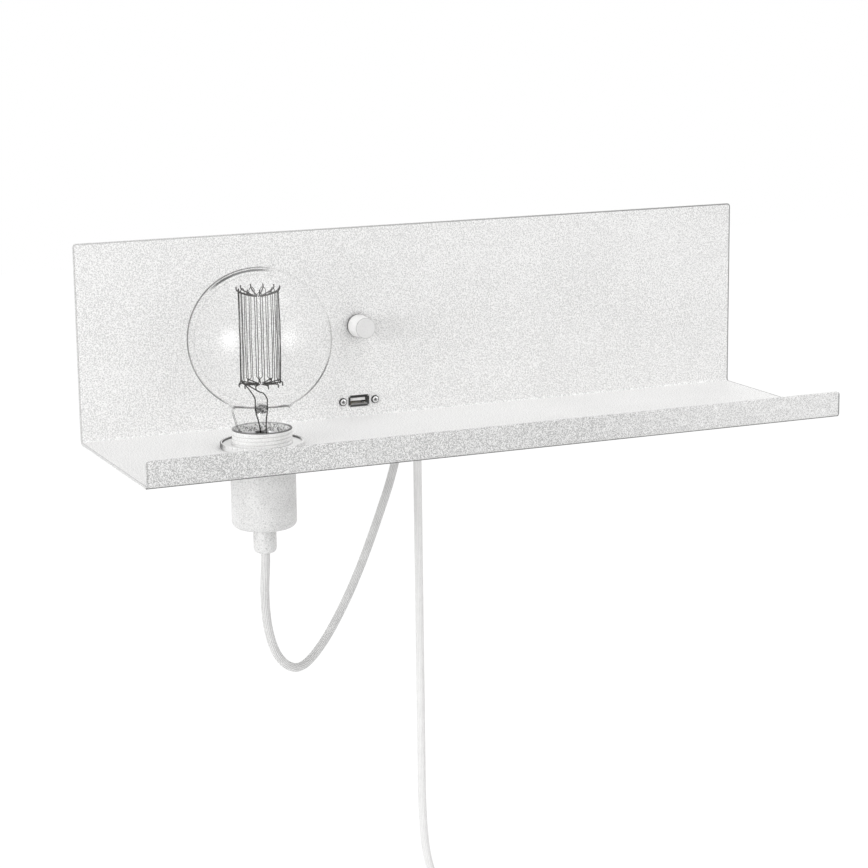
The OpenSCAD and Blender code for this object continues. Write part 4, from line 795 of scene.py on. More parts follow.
# %% [markdown]
# The real sleeve is a braid of white threads. Threads could be modelled one by one, but at this
# size a pattern with bumps looks the same and costs nothing. It is drawn on the cord's own map.
# Two families of threads cross: each is a row of slanted waves, and where one is high it lies over
# the other. The grooves between the white threads are painted grey, as painted shade.

# %% Braid
def braid(name, light, dark, threads=16, pitch_mm=5.2):
    """Two sines of the angle plus or minus the run along the cord, multiplied: light on the threads,
    and dark in the grooves between them as painted shade."""
    f = Finish(name, Roughness=0.9, Sheen_Weight=0.2, Sheen_Roughness=0.5)
    along, around, _ = f.split(f.node("ShaderNodeUVMap", {"uv_map": "along"}))
    turned = around * (math.pi * threads)
    climbed = along * (math.pi * threads / (pitch_mm * MM))
    left = (turned + climbed).math("SINE")
    right = (turned - climbed).math("SINE")
    weave = (left * right) * 0.5 + 0.5
    fuzz = f.noise(0.35, detail=3.0)
    worn = f.noise(9)
    tone = (weave * 0.50 + fuzz * 0.30 + worn * 0.20).smooth(0.18, 0.72)
    f.base(f.blend(tone, grey(dark, 0.01), grey(light, 0.01)))
    return f.relief(weave * 0.75 + fuzz * 0.25, 0.22, 0.8).material


# Both cords are the same white cable. The mains cord's copy is painted lighter, with paler grooves, as
# painted light for the light that it lacks where it hangs.
lamp_braid = braid("lamp_cord_braid", light=0.92, dark=0.38)
lightened_mains_braid = braid("mains_cord_braid", light=0.99, dark=0.72)
print(lamp_braid.name, "has", len(lamp_braid.node_tree.nodes), "nodes")

# %% [markdown]
# Now the line, the tube and the braid come together. Both cords are one mesh each. The mains
# cord's tube runs down the wall, round the coil and straight down into the plug, so its braid has
# no joint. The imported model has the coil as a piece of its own, and this tube stands for both.

# %% Cords
LOOP_SIDE, WALL_SIDE = (-78.0, 130.0, 0.0), (0.0, 1.0, 0.0)
lamp_cord = dress(tube_piece("lamp_cord_braid", lamp_line, CORD_R, LOOP_SIDE, sides=28),
                  "lamp", "cord_white", lamp_braid, "lamp_cord")

tail = np.array([(coil[-1][0], COIL_BACK, COIL_Z - COIL_TAIL)])
mains_line, mains_length = through(np.vstack([mains_route, coil[3:-3:6], coil[-1:] + (0, 0, -1.0), tail]))
mains_cord = dress(tube_piece("mains_cord_braid", mains_line, CORD_R, WALL_SIDE, sides=28),
                   "lamp", "cord_white", lightened_mains_braid, "mains_cord", "mains_cord_coil")
print("lamp cord", round(lamp_length), "mm, mains cord", round(mains_length), "mm")

# %% [markdown]
# ## Plug and tie
# The mains cord ends in a flat two-pin plug. A box with rounded edges would lack its waist, so its
# shape is a row of rounded rectangles of changing size, joined into one skin: round where the
# ribbed neck grips the cord, wide and flat at the face.

# %% Lofted skins
def rounded_loop(width, depth, radius, count):
    """A rectangle with round corners: a quarter circle is pushed out to each corner, so the
    angle's quadrant says which corner a point belongs to."""
    a = 2 * np.pi * (np.arange(count) + 0.5) / count
    radius = min(radius, width / 2 - 1e-3, depth / 2 - 1e-3)
    x = np.sign(np.cos(a)) * (width / 2 - radius) + radius * np.cos(a)
    y = np.sign(np.sin(a)) * (depth / 2 - radius) + radius * np.sin(a)
    return np.stack([x, y], -1)


def loft_points(stations, count=64):
    """Rounded rectangles at given heights: stations are (height, width, depth, radius). A station
    of zero width closes the skin with a point."""
    rows = []
    for height, width, depth, radius in stations:
        loop = rounded_loop(width, depth, radius, count) if width > 0 else np.zeros((count, 2))
        rows.append(np.column_stack([loop, np.full(count, height)]))
    return np.array(rows)


print("a loop has", len(rounded_loop(10, 5, 1, 64)), "points")

# %% Plug
PLUG_X, PLUG_Y, PLUG_TOP = COIL_X + COIL_INNER + COIL_STEP * COIL_TURNS, COIL_BACK, COIL_Z - COIL_TAIL
PLUG_FACE, PIN_OUT = -56, 9.3
neck = []
for k in range(5):
    z, d = -2.2 - 3.7 * k, 8.6 + 0.32 * k
    neck += [(z, d, d, d / 2), (z - 0.2, d + 0.9, d + 0.9, d), (z - 1.7, d + 1.0, d + 1.0, d),
             (z - 1.9, d + 0.1, d + 0.1, d)]
plug_stations = ([(0, 0, 0, 0), (0, 8.2, 8.2, 4.1)] + neck
                 + [(-22, 11.5, 10.4, 5), (-23.2, 15.8, 11.2, 5), (-26.5, 20.8, 12.0, 5.2),
                    (-32, 26.2, 12.8, 5.4), (-38, 31.4, 13.3, 5.6), (-43.5, 34.6, 13.6, 5.8),
                    (-46, 35.2, 13.7, 5.8), (-54.6, 35.3, 13.7, 5.8), (-55.6, 34.9, 13.3, 5.6),
                    (PLUG_FACE, 34.0, 12.4, 5.2), (PLUG_FACE, 0, 0, 0)])
plug_points = loft_points(plug_stations) + np.array([PLUG_X, PLUG_Y, PLUG_TOP])
plug = mesh_piece("plug_shell", plug_points * MM, grid_faces(len(plug_stations), 64), crease=math.radians(50))
dress(plug, "lamp", "white_gloss", plug_white, "plug_body")

pin_rows = [(0, 0, 0, 0), (0, 4, 4, 2), (-17.6, 4, 4, 2), (-18.6, 3.2, 3.2, 2), (-19, 2.0, 2.0, 1),
            (-19, 0, 0, 0)]
pin_parts = []
for side in (-1, 1):
    points = loft_points(pin_rows, 32) + np.array([PLUG_X + side * PIN_OUT, PLUG_Y, PLUG_TOP + PLUG_FACE])
    pin_parts.append((points.reshape(-1, 3), grid_faces(len(pin_rows), 32)))
points, faces = joined(pin_parts)
pins = dress(mesh_piece("plug_pins_bright", points * MM, faces), "lamp", "bright_metal", nickel, "plug_pins")

# %% [markdown]
# A black plastic tie holds the turns of the coil together, on the side away from the plug. It is a
# band with a soft edge, so the same rounded rectangles are used: an inner and an outer loop at each
# edge of the band, joined into a closed ring.

# %% Tie round the coil
tie_x, tie_y = -(COIL_INNER + PLUG_X) / 2, (COIL_FRONT + COIL_BACK) / 2
tie_rows = [(-3.6, 19.9, 13.4, 3), (-4.0, 20.5, 14.0, 3.3), (-4.0, 21.7, 15.2, 3.9), (-3.6, 22.3, 15.8, 4.2),
            (3.6, 22.3, 15.8, 4.2), (4.0, 21.7, 15.2, 3.9), (4.0, 20.5, 14.0, 3.3), (3.6, 19.9, 13.4, 3)]
tie_points = loft_points(tie_rows) + np.array([tie_x, tie_y, COIL_Z])
tie = dress(mesh_piece("coil_tie_band", tie_points * MM, grid_faces(len(tie_rows), 64, wrap_rows=True)),
            "lamp", "black_plastic", tie_black, "cord_tie")

# %% [markdown]
# ## Strain reliefs
# Each cord leaves the rear frame through a soft ribbed sleeve that narrows downwards, so that the
# cord can't kink at the hole. The ribs could be rings laid over a cone, but one outline turned
# round the cord gives the sleeve, its ribs and its flanges as a single closed skin.

# %% Ribbed sleeves
GLAND_TIP = -114.0
GLAND_BORE = 3.05


def sleeve_profile():
    """The outline of the sleeve: its bore, its tip, four ribs that widen upwards, a flange under
    the sheet, the neck through both walls and the inner flange."""
    out = [(GLAND_BORE, GLAND_TIP), (3.6, GLAND_TIP), (3.95, GLAND_TIP + 0.4)]
    for k in range(4):
        z = GLAND_TIP + 2.6 + 4.5 * k
        r = 4.0 + 0.14 * (k + 1)
        out += [(r, z), (r + 0.42, z + 0.25), (r + 0.45, z + 1.3), (r + 0.05, z + 1.6)]
    return out + [(4.6, -91.9), (5.2, -91.5), (5.5, -91.2), (5.5, -90.2), (5.3, -90.0), (4.6, -90.0),
                  (4.6, -86.6), (5.3, -86.6), (5.5, -86.4), (5.5, -85.4), (5.2, -85.1), (GLAND_BORE, -85.1)]


for name, route in (("lamp", lamp_route), ("mains", mains_route)):
    sleeve = lathe(name + "_sleeve", sleeve_profile(), route[0], sides=48)
    dress(sleeve, "lamp", "white_matte", gland_white, name + "_gland")

# %% [markdown]
# ## Folded sheet
# The sheet could be three boxes, but then its folds would be sharp. It is drawn as its middle
# surface instead: a line in side view that runs down the plate, round the fold, along the shelf,
# round the second fold and up the lip, carried along the wall. Near each free edge the rows are
# drawn in along a quarter circle, which rounds the corners. Solidify gives the thickness, Boolean
# cuts the holes, and Bevel breaks the cut edges.

# %% Middle surface of the sheet
SHEET, PLATE_Y, LIP_Y, FLOOR_Z, LIP_Z, FOLD_MID = 1.5, -25.75, -175.75, FOLD_LOW, -77.0, 2.25
TRAY_Z, PLATE_FRONT = FLOOR_Z + SHEET, -26.5


def sheet_rows():
    """(y, z, how far the row's ends are drawn in) down the plate, along the shelf and up the lip."""
    phi = np.radians(np.linspace(0, 90, 9))
    drop, inset = CORNER * (1 - np.cos(phi)), CORNER * (1 - np.sin(phi))
    plate = [(PLATE_Y, TOP_Z - d, i) for d, i in zip(drop, inset)]
    lip = [(LIP_Y, LIP_Z - d, i) for d, i in zip(drop, inset)][::-1]
    centre_z = FLOOR_Z + SHEET / 2 + FOLD_MID
    rear = [(y, z, 0.0) for y, z in arc(PLATE_Y - FOLD_MID, centre_z, FOLD_MID, 0, -90, 8)]
    front = [(y, z, 0.0) for y, z in arc(LIP_Y + FOLD_MID, centre_z, FOLD_MID, -90, -180, 8)]
    return np.array(plate + rear + front + lip)


rows = sheet_rows()
columns = np.array([-1.0, -0.98, -0.6, -0.2, 0.2, 0.6, 0.98, 1.0])
grid = (len(rows), len(columns))
sheet_points = np.stack([columns[None] * (HALF_W - rows[:, 2:]), np.broadcast_to(rows[:, :1], grid),
                         np.broadcast_to(rows[:, 1:2], grid)], -1)
sheet = mesh_piece("folded_sheet", sheet_points * MM, grid_faces(*grid, wrap_columns=False))
print("middle surface of", grid[0], "rows and", grid[1], "columns")


# %% Helpers that cut
def settle(piece):
    """Replaces the piece's mesh with what its modifiers make of it."""
    evaluated = piece.evaluated_get(bpy.context.evaluated_depsgraph_get())
    piece.data = bpy.data.meshes.new_from_object(evaluated)
    piece.modifiers.clear()


def carve(piece, cutters):
    """Cuts the cutters out of the piece and removes them."""
    for cutter in cutters:
        cut = piece.modifiers.new("cut", "BOOLEAN")
        cut.operation = "DIFFERENCE"
        cut.object = cutter
        cut.solver = "EXACT"
    settle(piece)
    for cutter in cutters:
        bpy.data.objects.remove(cutter)


def rod(name, axis, centre, span, radius, sides=96):
    """A plain closed rod along an axis, for cutting: centre gives the two other coordinates."""
    across = [k for k in range(3) if k != axis]
    a = np.linspace(0, 2 * np.pi, sides, endpoint=False)
    rows = np.zeros((4, sides, 3))
    for row, (at, r) in enumerate(((span[0], 0), (span[0], radius), (span[1], radius), (span[1], 0))):
        rows[row, :, axis] = at
        rows[row, :, across[0]] = centre[0] + r * np.cos(a)
        rows[row, :, across[1]] = centre[1] + r * np.sin(a)
    return mesh_piece(name, rows * MM, grid_faces(4, sides))


def block(name, low, high):
    """A plain box between two corners, for cutting."""
    low, high = np.array(low, float), np.array(high, float)
    corners = np.array([[low[0], low[1]], [high[0], low[1]], [high[0], high[1]], [low[0], high[1]]])
    rows = np.array([np.column_stack([corners, np.full(4, z)]) for z in (low[2], high[2])])
    faces = np.vstack([grid_faces(2, 4), [[3, 2, 1, 0], [4, 5, 6, 7]]])
    return mesh_piece(name, rows * MM, faces)


print("cutters: round rods and blocks")

# %% Thickness, holes and edges of the sheet
HOLDER_HOLE_R, BUSH_HOLE_R, SCREW_HOLE_R = 20.3, 3.6, 1.65
SLOT_HALF_W, SLOT_HALF_H = 6.75, 3.05
EDGE_R = 0.35

thick = sheet.modifiers.new("thickness", "SOLIDIFY")
thick.thickness = SHEET * MM
thick.offset = 0.0
thick.use_even_offset = True
through_plate = (PLATE_FRONT - 3, PLATE_FRONT + 4)
carve(sheet, [
    rod("holder_hole", 2, LAMP, (FLOOR_Z - 3, TRAY_Z + 3), HOLDER_HOLE_R),
    rod("bush_hole", 1, (CONTROL_X, KNOB_Z), through_plate, BUSH_HOLE_R, 48),
    rod("screw_hole_left", 1, (CONTROL_X - SCREW_OUT, USB_Z), through_plate, SCREW_HOLE_R, 32),
    rod("screw_hole_right", 1, (CONTROL_X + SCREW_OUT, USB_Z), through_plate, SCREW_HOLE_R, 32),
    block("usb_slot", (CONTROL_X - SLOT_HALF_W, through_plate[0], USB_Z - SLOT_HALF_H),
          (CONTROL_X + SLOT_HALF_W, through_plate[1], USB_Z + SLOT_HALF_H)),
])
round_edge = sheet.modifiers.new("round_edge", "BEVEL")
round_edge.width = EDGE_R * MM
round_edge.segments = 3
round_edge.limit_method = "ANGLE"
round_edge.angle_limit = math.radians(60)
settle(sheet)
shade(sheet, math.radians(30))
dress(sheet, "lamp", "powder_coat", coat, "shelf_panel")

# %% [markdown]
# ## Lampholder
# A cup hangs under the shelf, and a small nut at its foot grips the cord. Both are turned parts on
# the real lamp, and here too: an outline of radius and height goes once round the lamp's axis. A
# Boolean cuts the hole of the grip's side screw.

# %% Cup and cord grip
CUP_LOW, CUP_TOP = -148.0, -95.0
cup_profile = ([(5.2, CUP_LOW), (17.2, CUP_LOW)] + arc(17.2, CUP_LOW + 4.5, 4.5, -90, 0, 10)[1:]
               + [(21.7, CUP_TOP - 0.35), (21.6, CUP_TOP - 0.1), (21.35, CUP_TOP), (19.85, CUP_TOP),
                  (19.6, CUP_TOP - 0.2), (19.6, -128.0), (17.3, -128.0), (17.3, CUP_LOW + 2),
                  (5.2, CUP_LOW + 2)])
cup = lathe("holder_cup_shell", cup_profile, LAMP, sides=128)
dress(cup, "lamp", "holder_plastic", holder_white, "holder_cup")

grip_profile = ([(3.15, -166.0), (4.2, -166.0)] + arc(4.2, -162.45, 3.55, -90, 0, 8)[1:]
                + [(7.75, CUP_LOW - 0.35), (7.6, CUP_LOW - 0.1), (7.4, CUP_LOW), (5.15, CUP_LOW),
                   (5.15, -157.3), (3.15, -157.3)])
grip = lathe("cord_grip_nut", grip_profile, LAMP, sides=96)
carve(grip, [rod("grip_screw_hole", 1, (LAMP[0], -161.2), (LAMP[1], LAMP[1] + 12), 2.05, 32)])
shade(grip)
dress(grip, "lamp", "holder_plastic", holder_white, "cord_grip")

# %% [markdown]
# Above the shelf the holder has a real screw thread, cut for the ring nut that clamps a shade. A
# stack of rings would look like a thread from afar, but a thread climbs. So the radius rises and
# falls along the height, and the pattern moves up by one pitch for each turn. It fades in and out
# at its two ends, as a cut thread does.

# %% Collar with its thread
def thread_shape(turns):
    """A trapezoid wave with soft shoulders: 0 in the root and 1 on the crest, once a turn."""
    u = np.abs((turns % 1.0) * 2 - 1)
    s = np.clip((0.90 - u) / 0.22, 0, 1)
    return s * s * (3 - 2 * s)


def threaded_collar(sides, root=19.2, crest=20.0, pitch=2.5, bore=18.4, rows_per_pitch=12):
    """Outside: the radius is the root radius plus the thread's depth times its shape at the height
    in pitches less the angle in turns. Inside: a plain bore with a rounded mouth."""
    high = COLLAR_TOP
    a = np.linspace(0, 1, sides, endpoint=False)[None]
    z = np.linspace(TRAY_Z, high - 0.5, int((high - TRAY_Z) / pitch * rows_per_pitch) + 1)[:, None]
    fade = np.clip((z - TRAY_Z) / 1.2, 0, 1)
    groove = (1 - thread_shape((z - TRAY_Z) / pitch - a)) * np.clip((high - 1.5 - z) / 1.0, 0, 1)
    r = root + (crest - root) * (1 - groove) * fade
    angle = 2 * np.pi * a
    outside = np.stack([r * np.cos(angle), r * np.sin(angle), np.broadcast_to(z, r.shape)], -1)
    below = [(bore, -116.5), (19.3, -116.5), (19.55, -116.2), (19.55, FLOOR_Z), (root, FLOOR_Z)]
    above = [(crest, high - 0.25), (crest - 0.12, high - 0.06), (crest - 0.3, high), (bore + 0.2, high),
             (bore, high - 0.2)]
    return np.concatenate([lathe_points(below, sides), outside, lathe_points(above, sides)])


COLLAR_SIDES = 176
collar_points = threaded_collar(COLLAR_SIDES)
collar = mesh_piece("threaded_collar", (collar_points + (*LAMP, 0)) * MM,
                    grid_faces(len(collar_points), COLLAR_SIDES, wrap_rows=True), crease=math.radians(50))
dress(collar, "lamp", "holder_plastic", collar_white, "holder_collar")

# %% [markdown]
# A ring nut with a notched rim sits on that thread and rests on the shelf. Forty notches could be
# cut one by one, which is slow. They are part of the grid instead: each column of points has its
# own outer radius, and a column that lies inside a notch is drawn in by the notch's depth.

# %% Ring with a notched rim
def notched_ring(notches=40, outer=28.0, bore=20.1, depth=0.7, width_share=0.296):
    """Every column of the ring has its own outer radius above the flange: the full radius, less
    the notch's depth where the column lies inside a notch."""
    edge = width_share / 2
    shares = np.array([-0.5, -0.33, -edge - 0.012, -edge + 0.012, 0, edge - 0.012, edge + 0.012, 0.33])
    cut = np.tile(np.array([0, 0, 0, 1, 1, 1, 0, 0]) * depth, notches)
    a = ((np.arange(notches)[:, None] + shares[None]) / notches * 2 * np.pi).ravel()
    low, mid, top = TRAY_Z, TRAY_Z + 2.2, TRAY_Z + 3.6
    rows = [(bore, low, 0), (outer - 0.4, low, 0), (outer, low + 0.4, 0), (outer, mid - 0.25, 0),
            (outer - 0.2, mid, 0), (outer, mid, 1), (outer, top - 0.35, 1), (outer - 0.3, top, 1),
            (outer - 1.35, top, 0), (outer - 1.6, top - 0.25, 0), (outer - 1.6, mid + 0.3, 0),
            (outer - 1.9, mid, 0), (bore + 0.3, mid, 0), (bore, mid - 0.3, 0)]
    return np.array([np.stack([(r - notched * cut) * np.cos(a), (r - notched * cut) * np.sin(a),
                               np.full(len(a), z)], -1) for r, z, notched in rows])


ring_points = notched_ring()
ring = mesh_piece("notched_ring", (ring_points + (*LAMP, 0)) * MM,
                  grid_faces(len(ring_points), ring_points.shape[1], wrap_rows=True), crease=math.radians(34))
dress(ring, "lamp", "holder_plastic", ring_white, "shade_ring")

# %% [markdown]
# ## Knob and USB socket
# The knob is a turned cap with a soft edge and a hollow back. Its axis points out of the plate. It
# could be made upright and its object turned, but a piece's object stays unturned here, so its
# points are laid over instead: the lathe's height runs along the plate's normal.

# %% Dimmer knob
def out_of_plate(points, x, z):
    """Turns points whose height is a depth so that they stand out of the plate at (x, z)."""
    return np.stack([points[..., 0] + x, points[..., 2], points[..., 1] + z], -1)


KNOB_FACE_R, KNOB_BASE_R, KNOB_EDGE = 7.3, 8.0, 0.4
KNOB_SIDES = 96
knob_edge = [(KNOB_FACE_R - KNOB_EDGE * (1 - math.cos(t)), KNOB_FRONT + KNOB_EDGE * (1 - math.sin(t)))
             for t in np.radians(np.linspace(0, 90, 7))]
knob_profile = ([(0, -40.0), (3.15, -40.0), (3.15, -30.5), (6.3, -30.5), (6.3, -27.1), (7.75, -27.1),
                 (7.93, -27.18), (KNOB_BASE_R, -27.4)] + knob_edge + [(3.0, KNOB_FRONT), (0, KNOB_FRONT)])
knob_points = out_of_plate(lathe_points(knob_profile, KNOB_SIDES), CONTROL_X, KNOB_Z)
knob = mesh_piece("dimmer_knob_cap", knob_points * MM,
                  grid_faces(len(knob_profile), KNOB_SIDES, wrap_rows=True))
dress(knob, "knob", "white_gloss", knob_white, "dimmer_knob")

# %% [markdown]
# The socket's shell is drawn from thin sheet: a box with a lip that is folded out over the plate
# and rounded at its mouth. A cube with a hole would have hard corners, so the shell is a loft, whose
# rounded rectangles go up outside, over the lip and down inside.

# %% USB shell
usb_rows = [(-12.5, 0, 0, 0), (-12.5, 13.1, 5.7, 0.5), (-26.4, 13.1, 5.7, 0.5), (-26.5, 13.3, 5.9, 0.6),
            (-26.5, 15.3, 7.9, 1.1), (-26.6, 15.5, 8.1, 1.2), (-26.8, 15.5, 8.1, 1.2),
            (-26.9, 15.3, 7.9, 1.1), (-26.9, 13.5, 6.1, 0.8), (-26.75, 12.9, 5.5, 0.6),
            (-26.4, 12.4, 5.0, 0.4), (-12.85, 12.4, 5.0, 0.4), (-12.85, 0, 0, 0)]
usb_points = out_of_plate(loft_points(usb_rows, 48), CONTROL_X, USB_Z)
usb = mesh_piece("usb_shell_folded", usb_points * MM, grid_faces(len(usb_rows), 48), crease=math.radians(32))
dress(usb, "lamp", "bright_metal", shell_nickel, "usb_shell")

# %% [markdown]
# A screw with a low domed head stands on each side of the socket. The head and the shank are one
# turned outline. The cross for the screwdriver is cut with two blocks a head, because a drawn cross
# would stay flat when the light comes from the side.

# %% Screws beside the socket
HEAD_R, HEAD_WALL = 2.8, -27.1
CROSS_LONG, CROSS_SHORT = 1.6, 0.45


def pan_screw(x, z, sides=48):
    """A pan head on its shank: above a low wall, the outline's radius and height follow a quarter
    of an ellipse."""
    dome = [(HEAD_R * math.cos(t), HEAD_WALL + (HEAD_FRONT - HEAD_WALL) * math.sin(t))
            for t in np.radians(np.linspace(0, 90, 10))[1:-1]]
    profile = ([(0, -19.5), (1.2, -19.5), (1.5, -19.9), (1.5, -26.5), (2.75, -26.5), (HEAD_R, -26.6),
                (HEAD_R, HEAD_WALL)] + dome + [(0, HEAD_FRONT)])
    points = out_of_plate(lathe_points(profile, sides), x, z)
    return points.reshape(-1, 3), grid_faces(len(profile), sides)


screw_places = (CONTROL_X - SCREW_OUT, CONTROL_X + SCREW_OUT)
points, faces = joined([pan_screw(x, USB_Z) for x in screw_places])
screws = mesh_piece("usb_pan_screws", points * MM, faces)
cross = []
for k, x in enumerate(screw_places):
    for half_x, half_z in ((CROSS_LONG, CROSS_SHORT), (CROSS_SHORT, CROSS_LONG)):
        cross.append(block(f"cross_{k}_{half_x}", (x - half_x, -29, USB_Z - half_z),
                           (x + half_x, -27.3, USB_Z + half_z)))
carve(screws, cross)
shade(screws)
dress(screws, "lamp", "bright_metal", screw_metal, "usb_screws")

# %% [markdown]
# ## Bulb
# The glass is blown, so its wall is one smooth outline: a ball that turns outwards through a small
# throat into a neck. A sphere joined to a cylinder would have a crease there. The outside and the
# inside are both drawn, a wall apart, because both of them shine. Thin clear glass hardly dims the
# light, so it casts no shadow and takes no part in diffuse light.

# %% Globe and neck
WALL = 0.8
THROAT = (25.0, -68.16, 5.0)
NECK = [(20.0, -68.16), (19.3, -71.0), (18.2, -75.3), (16.9, -80.0), (15.5, -82.5), (13.2, -84.4),
        (11.5, -85.6), (11.5, -92.5)]
GLASS_SIDES = 128


def glass_line(inset):
    """The outline from the crown down: the ball's arc to where it touches the throat's circle,
    the throat's arc, and the neck. The inset makes the ball smaller and the throat larger."""
    touch = math.degrees(math.atan2(THROAT[1] - GLOBE_Z, THROAT[0]))
    ball = arc(0, GLOBE_Z, GLOBE_R - inset, 90, touch, 72)
    throat = arc(THROAT[0], THROAT[1], THROAT[2] + inset, touch + 180, 180, 10)
    return [(max(r, 0.0), z) for r, z in ball + throat[1:]] + [(r - inset, z) for r, z in NECK[1:]]


def light_passes(piece):
    """Lets the piece cast no shadow and leaves it out of diffuse light."""
    piece.visible_shadow = False
    piece.visible_diffuse = False


glass_profile = glass_line(0.0) + glass_line(WALL)[::-1]
glass_points = lathe_points(glass_profile, GLASS_SIDES) + (*LAMP, 0)
glass = mesh_piece("globe_glass", glass_points * MM, grid_faces(len(glass_profile), GLASS_SIDES),
                   crease=math.radians(60))
dress(glass, "bulb", "clear_glass", globe_glass, "bulb_glass")
light_passes(glass)

# %% [markdown]
# Inside the neck a glass mount carries the wires. It starts as a tube with a flared foot, its top is
# pinched flat round the wires while it is hot, and a rod with a button at each end stands on it. A
# turned shape can't be flat, so the foot and the rod are turned and the pinch is a loft. The mount
# has no inner wall: that would only add faces for a ray to pass.

# %% Glass mount
stem_profile = [(0, -92.5), (10.5, -92.5), (8.9, -91.6), (7.2, -90.2), (5.8, -88.4), (4.8, -86.2),
                (4.3, -83.5), (4.3, -76.0), (4.1, -72.5), (3.6, -70.4), (0, -70.4)]
pinch_rows = [(-71.2, 0, 0, 0), (-71.2, 5.4, 5.0, 2.3), (-70.2, 8.2, 4.7, 2.1), (-69.2, 9.1, 4.5, 1.9),
              (-65.6, 9.2, 4.3, 1.8), (-64.8, 8.2, 3.9, 1.7), (-64.5, 5.8, 3.2, 1.4), (-64.5, 0, 0, 0)]
rod_profile = [(0, -64.7), (1.5, -64.7), (1.15, -62.5), (1.2, -56.0), (1.4, -53.4), (1.8, -52.6),
               (1.9, -51.5), (1.8, -50.4), (1.2, -50.0), (0.8, -49.0), (0.8, 4.6), (1.2, 5.4), (1.8, 5.8),
               (1.9, 6.75), (1.75, 7.6), (1.0, 8.0), (0, 8.0)]
skins = [lathe_points(stem_profile, 48), loft_points(pinch_rows, 48), lathe_points(rod_profile, 24)]
points, faces = joined([((skin + (*LAMP, 0)).reshape(-1, 3), grid_faces(*skin.shape[:2])) for skin in skins])
stem = mesh_piece("glass_mount", points * MM, faces)
dress(stem, "bulb", "clear_glass", stem_glass, "glass_stem")
light_passes(stem)

# %% [markdown]
# The filament is one dark wire that runs up and down between little hooks, eleven times round.
# Straight bars in a circle would do from afar, but real strands are never quite straight or alike.
# So each bows out a little and carries its own fine waves, from a random number generator with a
# fixed seed, which gives the same wire each time.

# %% Cage of filament
STRANDS, CAGE_R, WIRE_R, CAGE_TURN = 22, 13.2, 0.24, math.pi
HOOK_HIGH, HOOK_LOW = 10.3, -50.3
STRAND_END, BEND_OUT, BEND_BACK = 1.2, 0.72, 0.35
step = 2 * np.pi / STRANDS
chance = np.random.default_rng(7)


def polar(r, angle, z):
    """The point at a radius, an angle and a height about the lamp's axis."""
    return np.array([LAMP[0] + r * np.cos(angle), LAMP[1] + r * np.sin(angle), z])


def strand(k):
    """Strand k as a line of points: it stands on the cage's circle, bows by the sine of its height
    and waves by a sum of small sines, and is turned a little round the cage."""
    u = np.linspace(0, 1, 25)
    low, high = HOOK_LOW + STRAND_END, HOOK_HIGH - STRAND_END
    bow, phase, lean = chance.normal(0, 0.28), chance.uniform(0, 6.28, 3), chance.normal(0, 0.020)
    middle = np.sin(np.pi * u)
    r = CAGE_R + bow * middle + 0.10 * np.sin(17 * u + phase[0]) * middle
    a = CAGE_TURN + k * step + lean * middle + 0.012 * np.sin(11 * u + phase[1]) * middle
    z = low + (high - low) * u
    return np.stack([LAMP[0] + r * np.cos(a), LAMP[1] + r * np.sin(a), z], -1)


wire = []
for k in range(STRANDS):
    line = strand(k)
    up = k % 2 == 0
    wire.append(line if up else line[::-1])
    if k < STRANDS - 1:
        angle = CAGE_TURN + (k + 0.5) * step
        far = HOOK_HIGH + BEND_OUT if up else HOOK_LOW - BEND_OUT
        near = far - BEND_BACK if up else far + BEND_BACK
        wire.append(np.array([polar(CAGE_R + 0.05, angle - 0.2 * step, near), polar(CAGE_R + 0.1, angle, far),
                              polar(CAGE_R + 0.05, angle + 0.2 * step, near)]))
wire = np.concatenate(wire)
outwards = np.column_stack([wire[:, :2] - LAMP, np.zeros(len(wire))])
filament = tube_piece("filament_wire", wire, WIRE_R, outwards, sides=8)
dress(filament, "bulb", "dark_wire", wire_metal, "filament")
print("filament through", len(wire), "points")

# %% [markdown]
# The hooks spread like spokes from a glass button above and from another below, and each ends in a
# point that holds a bend of the filament. Two leads come up through the pinch and carry the current
# to the filament's two ends. All of them are round wire, so the tube of the cords serves again.

# %% Hooks
HOOK_R, HOOK_TIP, ARM_R, HOOK_END = 0.42, 2.6, 2.4, 14.1
HUB_HIGH, HUB_LOW = 6.75, -51.5


def hook_line(angle, hub_z, end_z, direction):
    """An arm from the button to the filament that sags a little, and a point that turns up or
    down: the arm's height follows a power of its share of the way out."""
    u = np.linspace(0, 1, 9)
    r = ARM_R + (HOOK_END - ARM_R) * u
    z = hub_z + (end_z - hub_z) * u**1.4
    arm = [polar(a, angle, b) for a, b in zip(r, z)]
    tip = [polar(HOOK_END + 0.35, angle, end_z + direction * 0.9),
           polar(HOOK_END + 0.30, angle + 0.02, end_z + direction * HOOK_TIP)]
    return np.array(arm + tip)


hooks = []
for i in range(STRANDS // 2):
    above, below = (2 * i + 0.5, HUB_HIGH, HOOK_HIGH, 1), (2 * i + 1.5, HUB_LOW, HOOK_LOW, -1)
    for turns, hub_z, end_z, direction in (above, below):
        angle = CAGE_TURN + turns * step
        line = hook_line(angle, hub_z, end_z, direction)
        hooks.append(tube_parts(line, HOOK_R, (-math.sin(angle), math.cos(angle), 0.0), 8)[:2])
points, faces = joined(hooks)
hook_wires = mesh_piece("filament_hook_wires", points * MM, faces)
dress(hook_wires, "bulb", "dark_wire", wire_metal, "filament_hooks")

